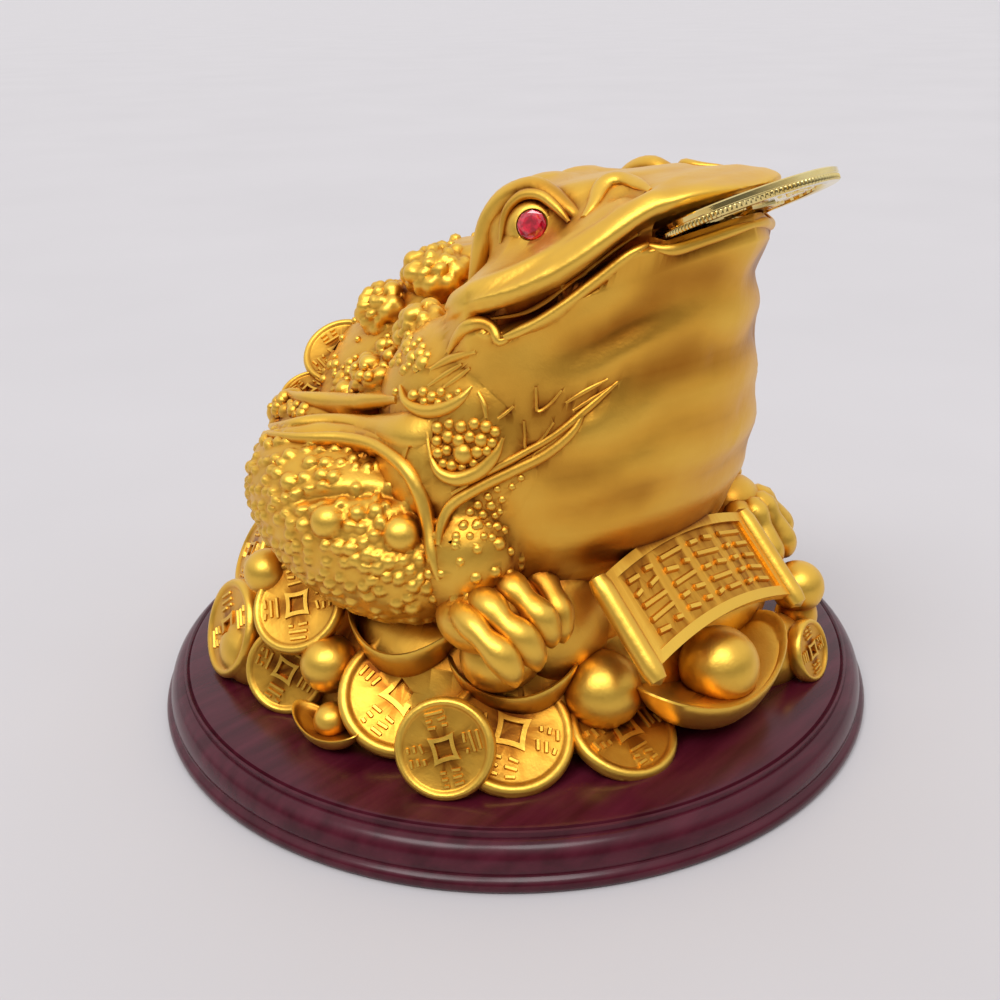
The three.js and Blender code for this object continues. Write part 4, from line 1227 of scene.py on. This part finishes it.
crowd = {
    # cells and blurs that measure the crowding, then how strongly bends, folds, the mouth's groove and the
    # eyes add painted shade
    "cell": 0.8, "margin": 14, "fine": 1.1, "broad": 4.0, "broadShare": 0.4, "sampleArea": 0.6, "creaseShadeAndEdgeHighlight": 3.0,
    "fold": 0.36, "mouth": 0.35, "eye": 1.0, "eyeReach": 7.6, "wideFace": 1.8,
    # painted shade laid in the belly's hollows: pixels, width (mm), strength
    "paintedShadePatches": [
        [[(656, 279), (680, 273), (712, 269)], 5.0, 1.0],
        [[(578, 340), (616, 331), (652, 329), (690, 336)], 5.0, 0.55],
        [[(648, 377), (690, 368), (728, 356), (752, 344)], 4.0, 0.45],
        [[(562, 484), (600, 484), (640, 488)], 5.4, 0.75],
        [[(508, 550), (560, 556), (600, 552)], 5.0, 0.7],
        [[(600, 548), (650, 530), (690, 512), (730, 498)], 4.6, 0.6],
        [[(505, 392), (530, 400), (556, 392)], 7.0, 0.5],
        [[(512, 440), (530, 436), (552, 424)], 5.0, 0.45],
    ],
}


def writePaintedShade(mesh, name):
    # painted shade and highlight: how much surface crowds the space just ahead of each point, against a flat
    # plate:
    # surface area gathered in cells, blurred by two bell curves, read off along the normal
    points, (tris,) = formOf(mesh)
    normals = normalsOf(mesh)
    a, b, c = (points[tris[:, k]] for k in range(3))
    area = np.linalg.norm(np.cross(b - a, c - a), axis=1) / 2
    times = np.clip(np.ceil(area / crowd["sampleArea"]), 1, 4000).astype(int)
    pick = np.repeat(np.arange(len(tris)), times)
    r, q = chance(np.arange(len(pick))), chance(np.arange(len(pick)) + 0.5)
    over = r + q > 1
    r, q = np.where(over, 1 - r, r)[:, None], np.where(over, 1 - q, q)[:, None]
    spots = a[pick] + r * (b - a)[pick] + q * (c - a)[pick]
    cell = crowd["cell"]
    low = points.min(0) - crowd["margin"]
    shape = np.ceil((points.max(0) + crowd["margin"] - low) / cell).astype(int) + 1
    index = ((spots - low) / cell).astype(int)
    flat = np.ravel_multi_index(index.T, shape)
    grid = np.bincount(flat, (area / times)[pick], int(shape.prod())).reshape(shape) / cell ** 3
    waves = np.fft.rfftn(grid)
    turns = [np.fft.fftfreq(n, cell) for n in shape[:2]] + [np.fft.rfftfreq(shape[2], cell)]
    square = turns[0][:, None, None] ** 2 + turns[1][None, :, None] ** 2 + turns[2][None, None, :] ** 2
    depth = np.zeros(len(points))
    for size, share in ((crowd["fine"], 1 - crowd["broadShare"]), (crowd["broad"], crowd["broadShare"])):
        blurred = np.fft.irfftn(waves * np.exp(-2 * np.pi ** 2 * size ** 2 * square), shape)
        at = (points + normals * size - low) / cell - 0.5
        whole = np.floor(at).astype(int)
        part = at - whole
        value = np.zeros(len(points))
        for corner in np.ndindex(2, 2, 2):
            weight = np.prod(np.where(corner, part, 1 - part), axis=1)
            value += weight * blurred[tuple((whole + corner).T)]
        plate = np.exp(-0.5) / (size * np.sqrt(2 * np.pi))
        depth += share * (value / plate - 1)
    # painted shade in hollow edges, which count as deeper, and painted highlight on proud ones, which count
    # as less deep: how far the neighbours' mean lies ahead
    edges = edgesOf(mesh)
    own = ownLength(points, edges)
    creaseShadeAndEdgeHighlight = ((neighbourMean(points, edges, len(points)) - points) * normals).sum(1) / own
    depth += crowd["creaseShadeAndEdgeHighlight"] * (0.6 * creaseShadeAndEdgeHighlight + 0.4 * neighbourMean(creaseShadeAndEdgeHighlight, edges, len(points)))
    # corners of wide flat faces count less, for their value spreads over the whole face
    depth /= 1 + (own / crowd["wideFace"]) ** 2
    # evened with the neighbours' mean, then painted shade added in the hollows of the belly's folds
    depth = 0.6 * depth + 0.4 * neighbourMean(depth, edges, len(points)) + crowd["fold"] * foldsAt(points)
    tree = treeOf(mesh)
    # painted shade darkens the paint along each path laid on the body
    for pixels, width, strength in crowd["paintedShadePatches"]:
        path = placesOn(tree, alongRows(pixels, np.linspace(0, 1, 14)))[0]
        depth += strength * np.exp(-nearest(points, path) / width ** 2)
    # painted shade in the mouth's groove, and in a ring under each eye's hood
    depth -= crowd["mouth"] * np.minimum(mouthRelief(points[:, 1], points[:, 2] - jawAt(points[:, 1])), 0)
    offset = points * np.where(points[:, :1] > 0, (-1, 1, 1), 1) - gem["place"]
    ring = np.exp(-((np.linalg.norm(offset, axis=1) - crowd["eyeReach"]) / 1.5) ** 2)
    depth += crowd["eye"] * ring * smoothStep(offset[:, 2], -3, 2)
    mesh.attributes.new(name, "FLOAT", "POINT").data.foreach_set("value", np.clip(depth, -1, 3))
    print("depth written for", len(depth), "points")


# materials

def newMaterial(name):
    material = bpy.data.materials.new(name)
    material.use_nodes = True
    nodes, links = material.node_tree.nodes, material.node_tree.links
    return material, nodes, links, nodes["Principled BSDF"]


def noiseOn(nodes, links, scale, detail=4.0, rough=0.55):
    place = nodes.new("ShaderNodeTexCoord")
    noise = nodes.new("ShaderNodeTexNoise")
    noise.inputs["Scale"].default_value, noise.inputs["Detail"].default_value = scale, detail
    noise.inputs["Roughness"].default_value = rough
    links.new(place.outputs["Object"], noise.inputs["Vector"])
    return noise


def ramp(nodes, stops):
    made = nodes.new("ShaderNodeValToRGB")
    band = made.color_ramp
    while len(band.elements) < len(stops):
        band.elements.new(0.5)
    for element, (place, colour) in zip(band.elements, stops):
        element.position, element.color = place, (*colour, 1)
    return made


def mapped(nodes, links, source, low, high, start=0.0, end=1.0):
    # start to end of the source spread over low to high
    made = nodes.new("ShaderNodeMapRange")
    links.new(source, made.inputs["Value"])
    for name, value in (("From Min", start), ("From Max", end), ("To Min", low), ("To Max", high)):
        made.inputs[name].default_value = value
    return made


def coloured(nodes, links, shader, source, stops):
    colour = ramp(nodes, stops)
    links.new(source, colour.inputs["Fac"])
    links.new(colour.outputs["Color"], shader.inputs["Base Color"])


def roughened(nodes, links, shader, source, span):
    links.new(mapped(nodes, links, source, *span).outputs["Result"], shader.inputs["Roughness"])


def bumped(nodes, links, scale, detail, strength, distance):
    made = nodes.new("ShaderNodeBump")
    links.new(noiseOn(nodes, links, scale, detail).outputs["Fac"], made.inputs["Height"])
    made.inputs["Strength"].default_value, made.inputs["Distance"].default_value = strength, distance
    return made


gilding = {
    # colours from painted deep shade and painted shade through the gold itself to painted highlight
    "deep": (0.17, 0.045, 0.005), "low": (0.43, 0.165, 0.015), "body": (0.79, 0.41, 0.05),
    "high": (0.93, 0.57, 0.085),
    # depths that count as fully crowded, painted in deep shade, and fully open, painted in highlight, and how
    # far a soft cloud shifts the tone
    "crowded": 2.2, "open": -0.3, "cloud": 0.16, "metallic": 0.94, "roughness": (0.32, 0.46),
    "grainScale": 2600.0, "grain": 0.10, "skinScale": 420.0, "skin": 0.15,
}


def gildedPaint():
    material, nodes, links, shader = newMaterial("gilded_paint")
    depth = nodes.new("ShaderNodeAttribute")
    depth.attribute_name = "depth"
    cloud = noiseOn(nodes, links, 90.0, 5.0)
    wave = nodes.new("ShaderNodeMath")
    wave.operation = "MULTIPLY_ADD"
    links.new(cloud.outputs["Fac"], wave.inputs[0])
    wave.inputs[1].default_value, wave.inputs[2].default_value = gilding["cloud"], -gilding["cloud"] / 2
    # painted shade and highlight: the depth attribute, from crowded to open, picks the colour from deep shade
    # to highlight
    level = mapped(nodes, links, depth.outputs["Fac"], 0.0, 1.0, gilding["crowded"], gilding["open"])
    both = nodes.new("ShaderNodeMath")
    both.operation = "ADD"
    both.use_clamp = True
    links.new(level.outputs["Result"], both.inputs[0])
    links.new(wave.outputs["Value"], both.inputs[1])
    stops = zip((0.0, 0.32, 0.68, 1.0), (gilding[k] for k in ("deep", "low", "body", "high")))
    coloured(nodes, links, shader, both.outputs["Value"], list(stops))
    roughened(nodes, links, shader, noiseOn(nodes, links, 300.0, 3.0).outputs["Fac"], gilding["roughness"])
    shader.inputs["Metallic"].default_value = gilding["metallic"]
    grain = bumped(nodes, links, gilding["grainScale"], 2.0, gilding["grain"], 0.0002)
    skin = bumped(nodes, links, gilding["skinScale"], 3.0, gilding["skin"], 0.0006)
    links.new(skin.outputs["Normal"], grain.inputs["Normal"])
    links.new(grain.outputs["Normal"], shader.inputs["Normal"])
    return material


polish = {"light": (0.95, 0.80, 0.36), "warm": (0.84, 0.60, 0.18), "roughness": (0.06, 0.16)}


def polishedGold():
    material, nodes, links, shader = newMaterial("polished_gold")
    cloud = noiseOn(nodes, links, 160.0, 4.0).outputs["Fac"]
    coloured(nodes, links, shader, cloud, [(0.3, polish["warm"]), (0.65, polish["light"])])
    roughened(nodes, links, shader, cloud, polish["roughness"])
    shader.inputs["Metallic"].default_value = 1.0
    links.new(bumped(nodes, links, 500.0, 3.0, 0.12, 0.0003).outputs["Normal"], shader.inputs["Normal"])
    return material


stone = {"deep": (0.38, 0.0, 0.015), "light": (0.9, 0.01, 0.05), "roughness": 0.03,
         "ior": 1.76, "clear": 0.15, "coat": 0.6}


def redStone():
    material, nodes, links, shader = newMaterial("red_gem")
    cloud = noiseOn(nodes, links, 700.0, 2.0).outputs["Fac"]
    coloured(nodes, links, shader, cloud, [(0.35, stone["deep"]), (0.6, stone["light"])])
    shader.inputs["Roughness"].default_value = stone["roughness"]
    shader.inputs["IOR"].default_value = stone["ior"]
    shader.inputs["Transmission Weight"].default_value = stone["clear"]
    shader.inputs["Coat Weight"].default_value = stone["coat"]
    return material


lacquer = {"dark": (0.048, 0.003, 0.009), "body": (0.070, 0.006, 0.015), "light": (0.094, 0.010, 0.022),
           "roughness": (0.18, 0.28), "shine": 0.36, "stretch": (12, 90, 90)}


def lacqueredWood():
    material, nodes, links, shader = newMaterial("lacquer")
    place = nodes.new("ShaderNodeTexCoord")
    stretch = nodes.new("ShaderNodeMapping")
    stretch.inputs["Scale"].default_value = lacquer["stretch"]
    links.new(place.outputs["Object"], stretch.inputs["Vector"])
    grain = nodes.new("ShaderNodeTexNoise")
    grain.inputs["Scale"].default_value, grain.inputs["Detail"].default_value = 3.0, 6.0
    links.new(stretch.outputs["Vector"], grain.inputs["Vector"])
    coloured(nodes, links, shader, grain.outputs["Fac"],
             [(0.35, lacquer["dark"]), (0.52, lacquer["body"]), (0.75, lacquer["light"])])
    roughened(nodes, links, shader, noiseOn(nodes, links, 60.0, 5.0).outputs["Fac"], lacquer["roughness"])
    shader.inputs["Specular IOR Level"].default_value = lacquer["shine"]
    links.new(bumped(nodes, links, 35.0, 4.0, 0.15, 0.0006).outputs["Normal"], shader.inputs["Normal"])
    return material


# building the pieces

def addPiece(mesh, material, name, node):
    mesh.materials.clear()
    mesh.materials.append(material)
    thing = objectOf(name, mesh)
    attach(thing, "root")
    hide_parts(node)
    return thing


def castToad():
    right = rightSide()
    body = [closedSurface(backPoint, around(90), np.linspace(0, 1, 46))]
    trunkMesh = combined("trunk", trunkForm(), [("UNION", body + right + [mirrored(f) for f in right])])
    setPoints(trunkMesh, softened(trunkMesh))
    lumps = lambda fineness: [lumpForm(*row, 11 + 7 * k, fineness) for k, row in enumerate(back["lumps"])]
    extra = headRidges() + [mirrored(f) for f in headRidges() + lumps(back["farFineness"])] + lumps(1.0)
    extra += [haunchForm(1.0), mirrored(haunchForm(haunch["farFineness"]))]
    core = combined("core", formOf(trunkMesh), [("UNION", extra)])
    bpy.data.meshes.remove(trunkMesh)
    print("core of the toad:", len(core.polygons), "faces")
    setPoints(core, pressed(pointsOf(core), normalsOf(core), treeOf(core)))
    tree = treeOf(core)
    onBody = laidBands(tree) + wartForms(tree)
    onBody += [mirrored(f) for f in onBody] + [backWarts()]
    feet = fist() + paw(*limbs["paw"])
    solids, marks, pits = heapForms()
    sheet, panel, panelMarks = scrollForms()
    steps = [("UNION", sheet[1:]), ("DIFFERENCE", [panel]), ("UNION", panelMarks)]
    banner = combined("banner", sheet[0], steps)
    collar, socket = gemCollar(), gemSocket()
    print("relief laid on the body")
    wide = 400.0
    below = block((-wide, -wide, -wide), (wide, wide, 0))
    made = combined("toad", formOf(core), [
        ("UNION", onBody + feet + solids + [collar, mirrored(collar)]),
        ("DIFFERENCE", pits),
        ("UNION", marks + [formOf(banner)]),
        ("DIFFERENCE", [mouthSlot(), socket, mirrored(socket), below]),
    ])
    bpy.data.meshes.remove(core)
    bpy.data.meshes.remove(banner)
    return largestPart(made)


def makePieces():
    toad = castToad()
    writePaintedShade(toad, "depth")
    shadeBy(toad, 50)
    toad.calc_loop_triangles()
    print("toad figure:", len(toad.loop_triangles), "triangles")
    addPiece(toad, gildedPaint(), "toad", "toad_figure")
    coin = coinPiece()
    shadeBy(coin, 30)
    addPiece(coin, polishedGold(), "coin", "mouth_coin")
    red = redStone()
    for side, form in (("right", gemForm()), ("left", mirrored(gemForm()))):
        addPiece(meshOf("gem_" + side, form), red, "gem_" + side, "eye_gem_" + side)
    plinth = meshOf("plinth", moved(baseForm(), by=(0, 0, -baseHeight)))
    shadeBy(plinth, 35)
    addPiece(plinth, lacqueredWood(), "plinth", "wooden_base")
    print("coin, gems and base made")


# floor and light
studio = {
    "floor": (0.60, 0.58, 0.59), "floorShine": 0.15, "reach": 200.0,
    # sky: brightness from low to high as the direction's share along the lean rises from start to end
    "sky": (0.97, 0.96, 0.99), "lean": (0.25, 0.245, 1.0), "low": 0.13, "high": 0.83, "start": -0.10,
    "end": 0.50,
    # suns side by side: aim, strength, angle in degrees
    "suns": [[(-0.28, -0.40, 0.87), 0.8, 24.0], [(-0.60, -0.08, 0.80), 0.8, 24.0]],
}


def makeStudio():
    sides = 64
    angle = 2 * np.pi * np.arange(sides) / sides
    points = np.stack([np.cos(angle), np.sin(angle), 0 * angle], -1) * studio["reach"]
    mesh = bpy.data.meshes.new("floor")
    mesh.from_pydata(points.tolist(), [], [list(range(sides))])
    material, nodes, links, shader = newMaterial("pale_floor")
    cloud = noiseOn(nodes, links, 6.0, 3.0).outputs["Fac"]
    lighter = tuple(c * 1.04 for c in studio["floor"])
    coloured(nodes, links, shader, cloud, [(0.3, studio["floor"]), (0.7, lighter)])
    shader.inputs["Roughness"].default_value = 0.45
    shader.inputs["Specular IOR Level"].default_value = studio["floorShine"]
    mesh.materials.append(material)
    objectOf("floor", mesh)
    world = bpy.data.worlds.new("studio")
    world.use_nodes = True
    nodes, links = world.node_tree.nodes, world.node_tree.links
    sky = nodes["Background"]
    sky.inputs["Color"].default_value = (*studio["sky"], 1)
    share = nodes.new("ShaderNodeVectorMath")
    share.operation = "DOT_PRODUCT"
    links.new(nodes.new("ShaderNodeTexCoord").outputs["Generated"], share.inputs[0])
    share.inputs[1].default_value = studio["lean"]
    span = (studio[k] for k in ("low", "high", "start", "end"))
    level = mapped(nodes, links, share.outputs["Value"], *span)
    level.interpolation_type = "SMOOTHSTEP"
    links.new(level.outputs["Result"], sky.inputs["Strength"])
    bpy.context.scene.world = world
    bpy.context.scene.view_settings.view_transform = "Standard"
    for i, (aim, strength, angle) in enumerate(studio["suns"]):
        sun = bpy.data.lights.new(f"sun{i}", "SUN")
        sun.energy, sun.angle = strength, np.radians(angle)
        thing = bpy.data.objects.new(f"sun{i}", sun)
        thing.rotation_euler = (-Vector(aim)).to_track_quat("-Z", "Y").to_euler()
        bpy.context.scene.collection.objects.link(thing)


makeCamera()
makeStudio()
print("camera, floor and light ready")
makePieces()
